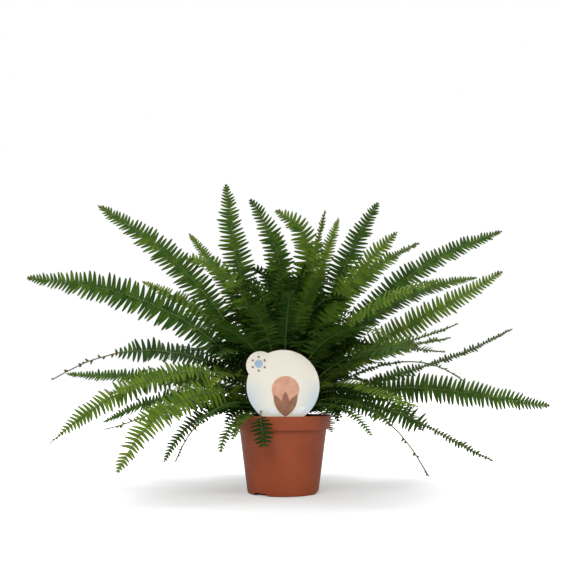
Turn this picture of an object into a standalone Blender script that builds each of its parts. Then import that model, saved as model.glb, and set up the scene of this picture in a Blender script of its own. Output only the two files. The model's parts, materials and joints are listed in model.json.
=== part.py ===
"""Potted sword fern: nursery pot, potting soil, plant label, crown and separate fronds.

Units are metres and +Z is up. The pot stands on z = 0 with its axis on the Z axis, and the
label faces -Y, which is the front.
"""

import math
from collections import namedtuple

import bmesh
import bpy
from mathutils import Vector
from mathutils.bvhtree import BVHTree

MM = 0.001

# pot
RIM_RADIUS = 60.0 * MM
RIM_TOP = 97.0 * MM
RIM_BAND = 17.0 * MM
BODY_TOP_RADIUS = 54.5 * MM
BASE_RADIUS = 44.0 * MM
WALL = 1.6 * MM
FLOOR = 2.0 * MM
EDGE = 2.5 * MM
POT_SIDES = 48
DRAIN_SLOTS = 3
DRAIN_WIDTH = 21.0 * MM
DRAIN_HEIGHT = 3.6 * MM
DRAIN_DEPTH = 9.0 * MM
FIRST_DRAIN = math.radians(-129.0)

# soil
GAP = 0.3 * MM
SOIL_EDGE_TOP = 86.0 * MM
SOIL_TOP = 89.0 * MM
SOIL_FLAT_RADIUS = 27.0 * MM
SOIL_SIDES = 36

# crown
CROWN_RADIUS = 24.0 * MM
CROWN_SIDES = 24
CROWN_RINGS = 6

# plant label
LABEL_RADIUS = 43.5 * MM
LABEL_CENTRE = Vector((0.0, -45.0 * MM, 132.5 * MM))
LABEL_LOBE_RADIUS = 17.0 * MM
LABEL_LOBE_OFFSET = Vector((-27.0 * MM, 25.0 * MM))
LABEL_THICKNESS = 0.8 * MM
STAKE_HALF_WIDTH = 8.0 * MM
STAKE_SHOULDER = 44.0 * MM
STAKE_TIP = 72.0 * MM
STAKE_TIP_HALF_WIDTH = 3.0 * MM
STAKE_SLOT_HALF_WIDTH = 10.5 * MM

# fronds
STIPE_HALF_WIDTH = 1.5 * MM
BLADE_THICKNESS = 0.9 * MM
CLEAR_THICKNESS = 1.5 * MM
FOLD = math.radians(10.0)
STIPE_STEPS = 3
BLADE_TEETH = 6
NOTCH = 0.52
LAUNCH_PULL = 0.42
TIP_PULL = 0.36

# heading: compass angle of the tip seen from above, 0 = right, 90 = back
# reach, height: where the tip is; launch, tip: slope of the rachis at its two ends
# width: across the blade; turn: how far the blade turns its face to the front
# sweep: compass angle by which the stalk sets off aside from the heading
# stipe: share of the rachis that carries no leaflets
Frond = namedtuple("Frond", "heading reach height launch tip width turn sweep stipe")

FRONDS = {
    "frond_top_01": Frond(150, 85, 397, 76, 87, 46, 60, 0, 0.24),
    "frond_top_02": Frond(206, 46, 362, 84, 48, 40, 60, 60, 0.24),
    "frond_top_03": Frond(170, 10, 352, 82, 20, 46, 55, -120, 0.24),
    "frond_top_04": Frond(-30, 60, 346, 84, 72, 34, 55, 0, 0.24),
    "frond_top_05": Frond(39, 96, 356, 82, 62, 28, 45, 0, 0.24),
    "frond_top_06": Frond(9, 124, 367, 70, 55, 44, 55, 0, 0.24),
    "frond_top_07": Frond(-16, 143, 317, 74, 40, 40, 50, 0, 0.24),
    "frond_top_08": Frond(23, 201, 326, 74, 22, 34, 40, 0, 0.24),
    "frond_top_09": Frond(145, 158, 342, 78, 45, 26, 40, 0, 0.24),
    "frond_top_10": Frond(163, 141, 297, 80, -5, 44, 30, 0, 0.24),
    "frond_left_01": Frond(170, 242, 366, 64, 31, 46, 50, 0, 0.20),
    "frond_left_02": Frond(182, 317, 266, 56, 4, 46, 40, 0, 0.20),
    "frond_left_03": Frond(149, 231, 280, 62, 22, 34, 30, 0, 0.22),
    "frond_left_04": Frond(186, 281, 140, 54, -34, 44, 35, 0, 0.20),
    "frond_left_05": Frond(168, 295, 149, 30, 5, 28, 30, 0, 0.22),
    "frond_left_06": Frond(197, 279, 66, 46, -45, 46, 40, 0, 0.20),
    "frond_left_07": Frond(211, 229, 84, 26, -12, 38, 25, 0, 0.30),
    "frond_left_08": Frond(163, 253, 84, 28, -25, 34, 30, 0, 0.24),
    "frond_left_09": Frond(218, 225, 38, 30, -66, 48, 20, 0, 0.22),
    "frond_left_10": Frond(203, 151, 43, 24, -70, 28, 20, 0, 0.28),
    "frond_left_11": Frond(227, 167, 49, 34, -66, 20, 0, 0, 0.30),
    "frond_left_12": Frond(222, 98, 46, 30, -84, 24, 0, 0, 0.32),
    "frond_left_13": Frond(228, 106, 130, 66, -65, 30, 0, 0, 0.28),
    "frond_left_14": Frond(203, 217, 138, 50, -20, 36, 35, 0, 0.22),
    "frond_right_01": Frond(6, 284, 332, 62, 18, 42, 35, 0, 0.20),
    "frond_right_02": Frond(-27, 200, 251, 70, 12, 40, 30, 0, 0.24),
    "frond_right_03": Frond(-9, 266, 271, 46, 36, 42, 40, 0, 0.20),
    "frond_right_04": Frond(20, 285, 282, 60, 8, 36, 30, 0, 0.22),
    "frond_right_05": Frond(-30, 224, 201, 46, 20, 26, 25, 0, 0.24),
    "frond_right_06": Frond(27, 265, 201, 42, 10, 28, 25, 0, 0.24),
    "frond_right_07": Frond(-39, 223, 168, 52, -10, 26, 20, 0, 0.26),
    "frond_right_08": Frond(4, 293, 207, 26, 32, 24, 40, 0, 0.24),
    "frond_right_09": Frond(-16, 222, 137, 42, -42, 16, 0, 0, 0.30),
    "frond_right_10": Frond(-4, 328, 108, 24, -7, 42, 45, 0, 0.20),
    "frond_right_11": Frond(-21, 255, 47, 22, -24, 34, 35, 0, 0.22),
    "frond_right_12": Frond(-37, 199, 33, 32, -62, 26, 20, 0, 0.26),
    "frond_right_13": Frond(-47, 200, 109, 46, -15, 24, 10, 0, 0.28),
    "frond_right_14": Frond(-44, 140, 75, 30, -52, 22, 0, 0, 0.28),
    "frond_front_01": Frond(246, 98, 62, 14, -80, 22, 0, 0, 0.40),
    "frond_front_02": Frond(-86, 150, 232, 80, -15, 46, 0, 0, 0.30),
    "frond_front_03": Frond(-66, 112, 267, 82, 15, 44, 0, 0, 0.28),
    "frond_front_04": Frond(250, 140, 207, 76, -25, 44, 0, 0, 0.30),
    "frond_front_05": Frond(-60, 185, 167, 66, -30, 40, 0, 0, 0.30),
    "frond_front_06": Frond(232, 150, 178, 66, -22, 40, 0, 0, 0.28),
    "frond_back_01": Frond(90, 210, 242, 72, -5, 46, 0, 0, 0.24),
    "frond_back_02": Frond(68, 250, 272, 70, 5, 44, 0, 0, 0.24),
    "frond_back_03": Frond(112, 240, 262, 70, 5, 44, 0, 0, 0.24),
    "frond_back_04": Frond(50, 280, 182, 50, -15, 42, 0, 0, 0.22),
    "frond_back_05": Frond(130, 290, 172, 50, -15, 42, 0, 0, 0.22),
    "frond_back_06": Frond(90, 290, 122, 40, -30, 46, 0, 0, 0.22),
    "frond_back_07": Frond(72, 240, 62, 30, -55, 44, 0, 0, 0.24),
    "frond_back_08": Frond(108, 235, 57, 30, -55, 44, 0, 0, 0.24),
    "frond_back_09": Frond(142, 250, 72, 34, -45, 42, 0, 0, 0.24),
    "frond_back_10": Frond(38, 260, 67, 34, -45, 42, 0, 0, 0.24),
    "frond_back_11": Frond(95, 90, 342, 82, 55, 40, 0, 0, 0.26),
}


def clear_scene():
    for obj in list(bpy.data.objects):
        bpy.data.objects.remove(obj, do_unlink=True)


def new_collection(name):
    collection = bpy.data.collections.new(name)
    bpy.context.scene.collection.children.link(collection)
    return collection


def make_material(name, colour, roughness):
    material = bpy.data.materials.new(name)
    material.use_nodes = True
    shader = material.node_tree.nodes["Principled BSDF"]
    shader.inputs["Base Color"].default_value = (*colour, 1.0)
    shader.inputs["Roughness"].default_value = roughness
    shader.inputs["Metallic"].default_value = 0.0
    material.diffuse_color = (*colour, 1.0)
    return material


def add_object(name, data, collection, material=None):
    obj = bpy.data.objects.new(name, data)
    collection.objects.link(obj)
    if material is not None:
        data.materials.append(material)
    return obj


def turned_solid(name, profile, sides, collection, material):
    """Spin a profile, given as (radius, height) pairs from the top axis point downwards."""
    mesh = bpy.data.meshes.new(name)
    vertices = [(radius, 0.0, height) for radius, height in profile]
    edges = [(i, i + 1) for i in range(len(vertices) - 1)]
    mesh.from_pydata(vertices, edges, [])
    obj = add_object(name, mesh, collection, material)
    screw = obj.modifiers.new("turn", "SCREW")
    screw.axis = "Z"
    screw.angle = math.tau
    screw.steps = sides
    screw.render_steps = sides
    screw.use_merge_vertices = True
    screw.merge_threshold = 0.00002
    screw.use_smooth_shade = False
    return obj


def pot_profile():
    """Inner floor, up the inside, over the rim, down the outside and back under the base."""
    band_bottom = RIM_TOP - RIM_BAND
    inner_base = BASE_RADIUS - WALL
    inner_top = BODY_TOP_RADIUS - WALL
    rim_inner = RIM_RADIUS - WALL
    return [
        (0.0, FLOOR),
        (inner_base, FLOOR),
        (inner_top, band_bottom - 2.0 * MM),
        (rim_inner - 0.6 * MM, band_bottom + 2.0 * MM),
        (rim_inner, RIM_TOP - 0.8 * MM),
        (rim_inner + 0.4 * MM, RIM_TOP),
        (RIM_RADIUS - 0.4 * MM, RIM_TOP),
        (RIM_RADIUS, RIM_TOP - 0.8 * MM),
        (RIM_RADIUS - 1.0 * MM, band_bottom + 0.6 * MM),
        (RIM_RADIUS - 1.6 * MM, band_bottom),
        (BODY_TOP_RADIUS, band_bottom),
        (BASE_RADIUS + 0.3 * MM, EDGE),
        (BASE_RADIUS - 0.5 * MM, 0.9 * MM),
        (BASE_RADIUS - EDGE, 0.0),
        (0.0, 0.0),
    ]


def drain_cutter(index, collection):
    """Block that opens one slot through the corner of wall and base."""
    angle = FIRST_DRAIN + index * math.tau / DRAIN_SLOTS
    mesh = bpy.data.meshes.new("drain_cutter")
    bm = bmesh.new()
    bmesh.ops.create_cube(bm, size=1.0)
    bm.to_mesh(mesh)
    bm.free()
    cutter = add_object(f"drain_cutter_{index}", mesh, collection)
    cutter.scale = (2.0 * DRAIN_DEPTH, DRAIN_WIDTH, 2.0 * DRAIN_HEIGHT)
    cutter.location = (BASE_RADIUS * math.cos(angle), BASE_RADIUS * math.sin(angle), 0.0)
    cutter.rotation_euler = (0.0, 0.0, angle)
    cutter.hide_render = True
    cutter.display_type = "WIRE"
    return cutter


def cut(obj, cutter):
    boolean = obj.modifiers.new(cutter.name, "BOOLEAN")
    boolean.operation = "DIFFERENCE"
    boolean.solver = "EXACT"
    boolean.object = cutter


def make_pot(collection, cutters, material):
    pot = turned_solid("pot", pot_profile(), POT_SIDES, collection, material)
    for index in range(DRAIN_SLOTS):
        cut(pot, drain_cutter(index, cutters))
    return pot


def make_soil(collection, cutters, material):
    """Soil that fills the pot, mounded towards the crown, with the slot the stake sits in."""
    band_bottom = RIM_TOP - RIM_BAND
    profile = [
        (0.0, SOIL_TOP),
        (SOIL_FLAT_RADIUS, SOIL_TOP),
        (RIM_RADIUS - WALL - 1.6 * MM, SOIL_EDGE_TOP),
        (RIM_RADIUS - WALL - 1.6 * MM, band_bottom + 3.0 * MM),
        (BODY_TOP_RADIUS - WALL - 1.0 * MM, band_bottom - 2.6 * MM),
        (BASE_RADIUS - WALL - GAP - 0.3 * MM, FLOOR + GAP + DRAIN_HEIGHT),
        (BASE_RADIUS - WALL - 1.4 * MM, FLOOR + GAP),
        (0.0, FLOOR + GAP),
    ]
    soil = turned_solid("potting_soil", profile, SOIL_SIDES, collection, material)
    depth = SOIL_TOP - (LABEL_CENTRE.z - STAKE_TIP) + 2.0 * GAP
    mesh = bpy.data.meshes.new("stake_slot")
    bm = bmesh.new()
    bmesh.ops.create_cube(bm, size=1.0)
    bm.to_mesh(mesh)
    bm.free()
    slot = add_object("stake_slot", mesh, cutters)
    slot.scale = (2.0 * STAKE_SLOT_HALF_WIDTH, LABEL_THICKNESS + 2.0 * GAP, 2.0 * depth)
    slot.location = (0.0, LABEL_CENTRE.y, SOIL_TOP)
    slot.hide_render = True
    slot.display_type = "WIRE"
    cut(soil, slot)
    return soil


def make_crown(collection, material):
    """Rounded root crown that every stalk leaves at right angles or nearly so."""
    foot = SOIL_TOP + GAP
    profile = []
    for ring in range(CROWN_RINGS + 1):
        angle = math.radians(90.0 - ring * 90.0 / CROWN_RINGS)
        radius = CROWN_RADIUS * math.cos(angle) if ring else 0.0
        profile.append((radius, foot + CROWN_RADIUS * math.sin(angle)))
    profile.append((0.0, foot))
    return turned_solid("crown", profile, CROWN_SIDES, collection, material)


def arc_points(centre, radius, start, end, count):
    points = []
    for i in range(count):
        angle = math.radians(start + (end - start) * i / (count - 1))
        points.append((centre[0] + radius * math.cos(angle), centre[1] + radius * math.sin(angle)))
    return points


def label_outline():
    """Round card with a smaller lobe at its upper left and a tapering stake below."""
    lobe = LABEL_LOBE_OFFSET
    distance = lobe.length
    toward = math.degrees(math.atan2(lobe.y, lobe.x))
    along = (distance**2 + LABEL_RADIUS**2 - LABEL_LOBE_RADIUS**2) / (2.0 * distance)
    on_card = math.degrees(math.acos(along / LABEL_RADIUS))
    on_lobe = math.degrees(math.acos((distance - along) / LABEL_LOBE_RADIUS))
    foot = math.degrees(math.acos(STAKE_HALF_WIDTH * 1.4 / LABEL_RADIUS))
    outline = arc_points((0.0, 0.0), LABEL_RADIUS, -foot, toward - on_card, 26)
    outline += arc_points(lobe, LABEL_LOBE_RADIUS, toward - 180.0 + on_lobe, toward + 180.0 - on_lobe, 18)[1:-1]
    outline += arc_points((0.0, 0.0), LABEL_RADIUS, toward + on_card, 360.0 - 180.0 + foot, 18)
    outline += [
        (-STAKE_HALF_WIDTH, -STAKE_SHOULDER - 4.0 * MM),
        (-STAKE_HALF_WIDTH, -STAKE_TIP + 12.0 * MM),
        (-STAKE_TIP_HALF_WIDTH, -STAKE_TIP),
        (STAKE_TIP_HALF_WIDTH, -STAKE_TIP),
        (STAKE_HALF_WIDTH, -STAKE_TIP + 12.0 * MM),
        (STAKE_HALF_WIDTH, -STAKE_SHOULDER - 4.0 * MM),
    ]
    return outline


def make_label(collection, material):
    curve = bpy.data.curves.new("plant_label_outline", "CURVE")
    curve.dimensions = "2D"
    curve.fill_mode = "BOTH"
    curve.extrude = LABEL_THICKNESS / 2.0
    outline = label_outline()
    spline = curve.splines.new("POLY")
    spline.points.add(len(outline) - 1)
    for point, (x, y) in zip(spline.points, outline):
        point.co = (x, y, 0.0, 1.0)
    spline.use_cyclic_u = True
    source = add_object("plant_label_outline", curve, collection)
    mesh = bpy.data.meshes.new_from_object(source.evaluated_get(bpy.context.evaluated_depsgraph_get()))
    bpy.data.objects.remove(source, do_unlink=True)
    bm = bmesh.new()
    bm.from_mesh(mesh)
    bmesh.ops.remove_doubles(bm, verts=bm.verts, dist=0.00002)
    bm.to_mesh(mesh)
    bm.free()
    label = add_object("plant_label", mesh, collection, material)
    label.location = LABEL_CENTRE
    label.rotation_euler = (math.radians(90.0), 0.0, 0.0)
    return label


def direction(azimuth, elevation):
    flat = math.cos(math.radians(elevation))
    return Vector((
        flat * math.cos(math.radians(azimuth)),
        flat * math.sin(math.radians(azimuth)),
        math.sin(math.radians(elevation)),
    ))


def rachis_points(frond):
    """Four control points of the rachis: crown, set-off, run-in and tip."""
    set_off = frond.heading + frond.sweep
    seat = direction(set_off, 10.0 + 0.68 * frond.launch)
    lean = math.radians(abs(frond.launch - 10.0 - 0.68 * frond.launch))
    stand_off = CROWN_RADIUS + GAP + STIPE_HALF_WIDTH * math.sin(lean)
    base = Vector((0.0, 0.0, SOIL_TOP + GAP)) + seat * stand_off
    tip = direction(frond.heading, 0.0) * frond.reach * MM
    tip.z = frond.height * MM
    span = (tip - base).length
    return (
        base,
        base + direction(set_off, frond.launch) * span * LAUNCH_PULL,
        tip - direction(frond.heading, frond.tip) * span * TIP_PULL,
        tip,
    )


def on_bezier(points, t):
    s = 1.0 - t
    a, b, c, d = points
    return a * s**3 + b * 3.0 * s * s * t + c * 3.0 * s * t * t + d * t**3


def bezier_tangent(points, t):
    s = 1.0 - t
    a, b, c, d = points
    slope = (b - a) * 3.0 * s * s + (c - b) * 6.0 * s * t + (d - c) * 3.0 * t * t
    return slope.normalized()


def half_width(frond, along, tooth):
    """Half the blade's width at a share of the blade's length, out at a tooth or in a notch."""
    rise = min(1.0, 0.42 + 3.4 * along)
    fall = (1.0 - along**2.2) ** 0.75
    full = 0.5 * frond.width * MM * rise * fall
    return max(STIPE_HALF_WIDTH * 0.6, full if tooth else full * NOTCH)


def frond_stations(frond):
    """Centre, side vector, face vector and half width at each step from crown to tip."""
    points = rachis_points(frond)
    side_level = direction(frond.heading - 90.0, 0.0)
    facing = 1.0 if math.cos(math.radians(frond.heading)) >= 0.0 else -1.0
    blade_steps = 2 * BLADE_TEETH
    stations = []
    for step in range(STIPE_STEPS + blade_steps + 1):
        if step <= STIPE_STEPS:
            share = frond.stipe * step / STIPE_STEPS
        else:
            share = frond.stipe + (1.0 - frond.stipe) * (step - STIPE_STEPS) / blade_steps
        along = min(1.0, max(0.0, (share - frond.stipe) / (1.0 - frond.stipe)))
        tangent = bezier_tangent(points, share)
        side = (side_level - tangent * side_level.dot(tangent)).normalized()
        face = side.cross(tangent)
        eased = share * share * (3.0 - 2.0 * share)
        roll = facing * math.radians(frond.turn) * min(1.0, 1.6 * eased)
        turned_side = side * math.cos(roll) - face * math.sin(roll)
        turned_face = face * math.cos(roll) + side * math.sin(roll)
        if step < STIPE_STEPS:
            width = STIPE_HALF_WIDTH
        else:
            width = half_width(frond, along, (step - STIPE_STEPS) % 2 == 1)
        stations.append((on_bezier(points, share), turned_side, turned_face, width))
    return stations


def sheet_point(station, column):
    """Point on the blade's middle sheet: column -1 and 1 are its edges, 0 is the rachis."""
    centre, side, face, width = station
    lift = face * (width * math.sin(FOLD) * abs(column))
    return centre + side * (width * math.cos(FOLD) * column) + lift


def frond_tree(frond):
    """Search tree of the frond's thickened surface, used to keep fronds clear of each other."""
    vertices = []
    for station in frond_stations(frond):
        for offset in (-0.5, 0.5):
            for column in (-1, 0, 1):
                vertices.append(sheet_point(station, column) + station[2] * (offset * CLEAR_THICKNESS))
    loop = (0, 1, 2, 5, 4, 3)
    faces = []
    for start in range(0, len(vertices) - 6, 6):
        for i in range(6):
            a = start + loop[i]
            b = start + loop[(i + 1) % 6]
            faces.append((a, b, b + 6, a + 6))
    return vertices, faces


def shifted(frond, turn_aside, raise_tip, steepen, narrow):
    return frond._replace(
        heading=frond.heading + turn_aside,
        height=frond.height + raise_tip,
        launch=min(86, frond.launch + steepen),
        width=frond.width * narrow,
    )


def small_moves():
    """Changes of heading, tip height, set-off slope and width, the smallest ones first."""
    moves = []
    for turn_aside in range(-12, 14, 2):
        for raise_tip in range(-16, 24, 8):
            for steepen in range(-10, 15, 5):
                for narrow in (1.0, 0.85, 0.7):
                    cost = abs(turn_aside) + abs(raise_tip) / 4.0 + abs(steepen) / 2.5
                    cost += (1.0 - narrow) * 14.0
                    moves.append((cost, turn_aside, raise_tip, steepen, narrow))
    return sorted(moves)


def place_frond(frond, placed_vertices, placed_faces, solids, moves):
    """Return the frond, moved as little as lets it clear everything already in place."""
    placed = BVHTree.FromPolygons(placed_vertices, placed_faces) if placed_faces else None
    for _, turn_aside, raise_tip, steepen, narrow in moves:
        candidate = shifted(frond, turn_aside, raise_tip, steepen, narrow)
        vertices, faces = frond_tree(candidate)
        tree = BVHTree.FromPolygons(vertices, faces)
        if any(tree.overlap(solid) for solid in solids):
            continue
        if placed is not None and tree.overlap(placed):
            continue
        start = len(placed_vertices)
        placed_vertices.extend(vertices)
        placed_faces.extend(tuple(i + start for i in face) for face in faces)
        return candidate
    raise RuntimeError("no clear place for a frond")


def make_frond(name, frond, collection, material):
    stations = frond_stations(frond)
    bm = bmesh.new()
    bmesh.ops.create_grid(bm, x_segments=len(stations) - 1, y_segments=2, size=0.5)
    last = len(stations) - 1
    for vertex in bm.verts:
        step = round((vertex.co.x + 0.5) * last)
        column = round(vertex.co.y * 2.0)
        vertex.co = sheet_point(stations[step], -column)
    bmesh.ops.recalc_face_normals(bm, faces=bm.faces)
    mesh = bpy.data.meshes.new(name)
    bm.to_mesh(mesh)
    bm.free()
    obj = add_object(name, mesh, collection, material)
    solidify = obj.modifiers.new("thickness", "SOLIDIFY")
    solidify.thickness = BLADE_THICKNESS
    solidify.offset = 0.0
    return obj


def solid_tree(obj, depsgraph):
    evaluated = obj.evaluated_get(depsgraph)
    mesh = evaluated.to_mesh()
    vertices = [obj.matrix_world @ vertex.co for vertex in mesh.vertices]
    faces = [tuple(face.vertices) for face in mesh.polygons]
    evaluated.to_mesh_clear()
    return BVHTree.FromPolygons(vertices, faces)


def main():
    clear_scene()
    collection = new_collection("potted_fern")
    cutters = new_collection("cutters")
    terracotta = make_material("pot_plastic", (0.335, 0.085, 0.042), 0.5)
    soil_brown = make_material("potting_soil", (0.035, 0.022, 0.014), 0.95)
    card = make_material("label_card", (0.82, 0.79, 0.68), 0.6)
    bark = make_material("crown_tissue", (0.11, 0.07, 0.03), 0.85)
    leaf = make_material("frond_leaf", (0.06, 0.16, 0.035), 0.5)

    pot = make_pot(collection, cutters, terracotta)
    soil = make_soil(collection, cutters, soil_brown)
    crown = make_crown(collection, bark)
    label = make_label(collection, card)

    bpy.context.view_layer.update()
    depsgraph = bpy.context.evaluated_depsgraph_get()
    solids = [solid_tree(obj, depsgraph) for obj in (pot, soil, crown, label)]
    placed_vertices = []
    placed_faces = []
    moves = small_moves()
    for name, frond in FRONDS.items():
        placed = place_frond(frond, placed_vertices, placed_faces, solids, moves)
        make_frond(name, placed, collection, leaf)


main()
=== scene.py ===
"""Potted sword fern with leafy fronds, on a plain pale studio floor."""

import json
import math
import random

import bmesh
import bpy
import numpy as np
from bpy.props import FloatProperty, IntProperty, PointerProperty
from mathutils import Matrix, Vector

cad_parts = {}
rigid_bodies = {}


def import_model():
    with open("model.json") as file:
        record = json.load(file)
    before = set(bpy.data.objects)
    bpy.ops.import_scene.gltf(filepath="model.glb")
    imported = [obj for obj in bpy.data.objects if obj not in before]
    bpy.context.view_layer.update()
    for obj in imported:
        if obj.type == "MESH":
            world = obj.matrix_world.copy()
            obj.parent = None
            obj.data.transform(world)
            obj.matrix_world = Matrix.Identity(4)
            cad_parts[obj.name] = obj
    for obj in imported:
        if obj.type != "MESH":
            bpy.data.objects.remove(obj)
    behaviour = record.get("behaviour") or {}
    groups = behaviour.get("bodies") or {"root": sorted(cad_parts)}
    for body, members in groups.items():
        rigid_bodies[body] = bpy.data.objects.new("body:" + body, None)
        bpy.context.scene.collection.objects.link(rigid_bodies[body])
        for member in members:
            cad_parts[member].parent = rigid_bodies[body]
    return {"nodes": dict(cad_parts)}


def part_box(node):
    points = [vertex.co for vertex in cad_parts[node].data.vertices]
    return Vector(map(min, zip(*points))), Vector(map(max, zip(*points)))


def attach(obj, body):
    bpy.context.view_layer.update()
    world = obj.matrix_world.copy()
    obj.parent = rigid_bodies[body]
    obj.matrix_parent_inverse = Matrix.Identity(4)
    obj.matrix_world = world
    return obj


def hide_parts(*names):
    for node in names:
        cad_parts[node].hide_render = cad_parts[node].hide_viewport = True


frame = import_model()

bl_info = {
    "name": "Potted fern",
    "version": (1, 0, 0),
    "blender": (4, 5, 0),
    "location": "View3D > Sidebar > Potted fern",
    "description": "Builds the fronds, pot, soil, crown, label and stage of a potted fern",
    "category": "Object",
}

MM = 0.001

# The tables below name a frond without the "frond_" that its node starts with.

# brighter, up to 1, or darker, down to -1, than the rest
FROND_TONES = dict(
    left_01=-0.1, left_02=-0.25, left_03=0.75, left_04=-0.6, left_05=-0.3, left_06=0.6,
    left_07=0.6, left_08=-0.4, left_09=0.65, left_13=1.0, left_14=0.5,
    right_01=-0.3, right_02=0.5, right_03=0.6, right_05=0.2, right_09=-0.6, right_10=-0.15,
    right_11=-0.2, right_13=0.9,
    front_01=0.1, front_02=-0.8, front_03=-0.1,
    top_01=-0.1, top_03=0.3, top_04=0.6, top_05=0.7, top_06=-0.5, top_07=0.4, top_10=0.2,
)

# share of the blade from which the leaflets have withered away
WITHERED_FROM = dict(left_04=0.70, left_06=0.96, left_07=0.80, left_11=0.70, right_12=0.62)

# share of the blade from which the leaflets are stunted to a narrow strip
STUNTED_FROM = dict(
    right_05=0.70, right_06=0.70, right_07=0.70, right_08=0.45, right_09=0.55, right_11=0.57,
    top_04=0.80, top_08=0.80,
)

# width of the leafy blade against the width of the plain one
BLADE_SHARES = dict(
    front_02=0.52, front_03=0.70, front_04=0.70,
    left_02=1.12, left_05=1.1, left_06=0.85, left_09=0.85,
    right_03=0.85, right_05=1.3, right_06=1.3, right_07=1.3, right_10=0.92,
)

# how far a blade is rolled to lie flat to the front, from 0, not at all, to 1
FRONTAL_SHARES = dict(
    top_02=0.85, top_03=0.6, top_07=0.6,
    left_01=0.3, left_02=0.5, left_06=0.5, left_09=0.6,
    right_01=0.4, right_03=0.6, right_10=0.6, right_11=0.5,
)
FRONTAL_SHARE = 0.25


def length_property(name, description, default):
    return FloatProperty(
        name=name, description=description, default=default, unit="LENGTH", subtype="DISTANCE"
    )


def angle_property(name, description, degrees):
    return FloatProperty(
        name=name, description=description, default=math.radians(degrees), subtype="ANGLE"
    )


def share_property(name, description, default):
    return FloatProperty(name=name, description=description, default=default, min=0.0)


def count_property(name, description, default):
    return IntProperty(name=name, description=description, default=default, min=0)


class FernLeafSettings(bpy.types.PropertyGroup):
    """Sizes and habits of the leaflets."""

    pitch_share: share_property("Pitch share", "Leaflet spacing as a share of its length", 0.13)
    pitch_least: length_property("Least pitch", "Leaflet spacing where leaflets are shortest", 0.0030)
    width_share: share_property("Width share", "Leaflet width as a share of its length", 0.15)
    width_least: length_property("Least width", "Width added to every leaflet", 0.0024)
    reach_share: share_property("Reach", "Leaflet length as a share of the blade's half width", 1.16)
    sweep: angle_property("Sweep", "Lean of a leaflet towards the frond's tip", 3.0)
    tip_sweep: angle_property("Tip sweep", "Extra lean of the leaflets at the tip", 24.0)
    lift: angle_property("Lift", "Rise of the leaflets above the rachis", 9.0)
    shingle: angle_property("Shingle", "Turn of a leaflet about its own length", 10.0)
    turn_jitter: angle_property("Turn jitter", "Random turn of each leaflet", 4.0)
    size_jitter: share_property("Size jitter", "Random size change of each leaflet", 0.1)
    rachis_radius: length_property("Rachis radius", "Radius of the stalk at the crown", 0.0010)
    rachis_tip_radius: length_property("Rachis tip radius", "Radius of the stalk at its tip", 0.00042)
    seed: count_property("Seed", "Seed of everything random in the leaves", 7)


class FernYoungSettings(bpy.types.PropertyGroup):
    """The short fronds that fill the middle of the plant."""

    count: count_property("Count", "Number of short fronds", 84)
    reach: length_property("Reach", "Longest sideways reach", 0.155)
    low: length_property("Low", "Height of the lowest tips", 0.112)
    high: length_property("High", "Height of the highest tips", 0.282)
    front: length_property("Front", "Least height of the tips behind the label", 0.182)
    width: length_property("Width", "Width of the blade", 0.037)
    rim_count: count_property("Rim count", "Number of fronds lying over the rim", 38)
    rim_width: length_property("Rim width", "Width of their blades", 0.024)


class FernPotSettings(bpy.types.PropertyGroup):
    """Sizes of the nursery pot."""

    wall: length_property("Wall", "Wall thickness", 0.0016)
    rim_band: length_property("Rim band", "Height of the rim band", 0.017)
    body_top_radius: length_property("Body top radius", "Outer radius just under the rim band", 0.0545)
    base_radius: length_property("Base radius", "Outer radius at the base", 0.044)
    sides: count_property("Sides", "Facets round the pot", 128)
    drain_slots: count_property("Drain slots", "Slots round the base", 3)
    drain_width: length_property("Drain width", "Width of a drain slot", 0.021)
    drain_height: length_property("Drain height", "Height of a drain slot", 0.0036)
    first_slot: angle_property("First slot", "Where the first slot lies, from the X axis", -129.0)


class FernLabelSettings(bpy.types.PropertyGroup):
    """Sizes of the plant label."""

    radius: length_property("Radius", "Radius of the round card", 0.0435)
    lobe_radius: length_property("Lobe radius", "Radius of the small lobe", 0.017)
    thickness: length_property("Thickness", "Thickness of the card", 0.0007)
    stake: length_property("Stake", "Half width of the stake", 0.0080)


class FernStageSettings(bpy.types.PropertyGroup):
    """The camera's place and lens."""

    distance: length_property("Camera distance", "From the pot's axis to the camera", 0.978)
    height: length_property("Camera height", "Height of the camera above the floor", 0.128)
    lens: share_property("Lens", "Focal length in millimetres", 50.0)
    shift_up: share_property("Shift up", "Upward shift of the level camera", 0.193)


# ---------------------------------------------------------------- node helpers


def add_node(tree, kind, **settings):
    node = tree.nodes.new(kind)
    for key, value in settings.items():
        setattr(node, key, value)
    return node


def feed(tree, node, **sources):
    """Connect or set a node's inputs, which are named with underscores for spaces."""
    for key, source in sources.items():
        wanted = key.replace("_", " ").lower()
        socket = next(s for s in node.inputs if s.enabled and s.name.lower() == wanted)
        if isinstance(source, bpy.types.NodeSocket):
            tree.links.new(source, socket)
        else:
            socket.default_value = source
    return node


def first_output(node):
    return next(s for s in node.outputs if s.enabled)


def made(tree, kind, settings=(), **sources):
    """First output of a new node that has these settings and sources."""
    return first_output(feed(tree, add_node(tree, kind, **dict(settings)), **sources))


def shapes_of(tree, collection):
    """A collection's objects as separate instances."""
    node = add_node(tree, "GeometryNodeCollectionInfo")
    node.inputs["Collection"].default_value = collection
    for name in ("Separate Children", "Reset Children"):
        node.inputs[name].default_value = True
    return first_output(node)


def realised(tree, instances, material):
    real = made(tree, "GeometryNodeRealizeInstances", Geometry=instances)
    return made(tree, "GeometryNodeSetMaterial", Geometry=real, Material=material)


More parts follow.
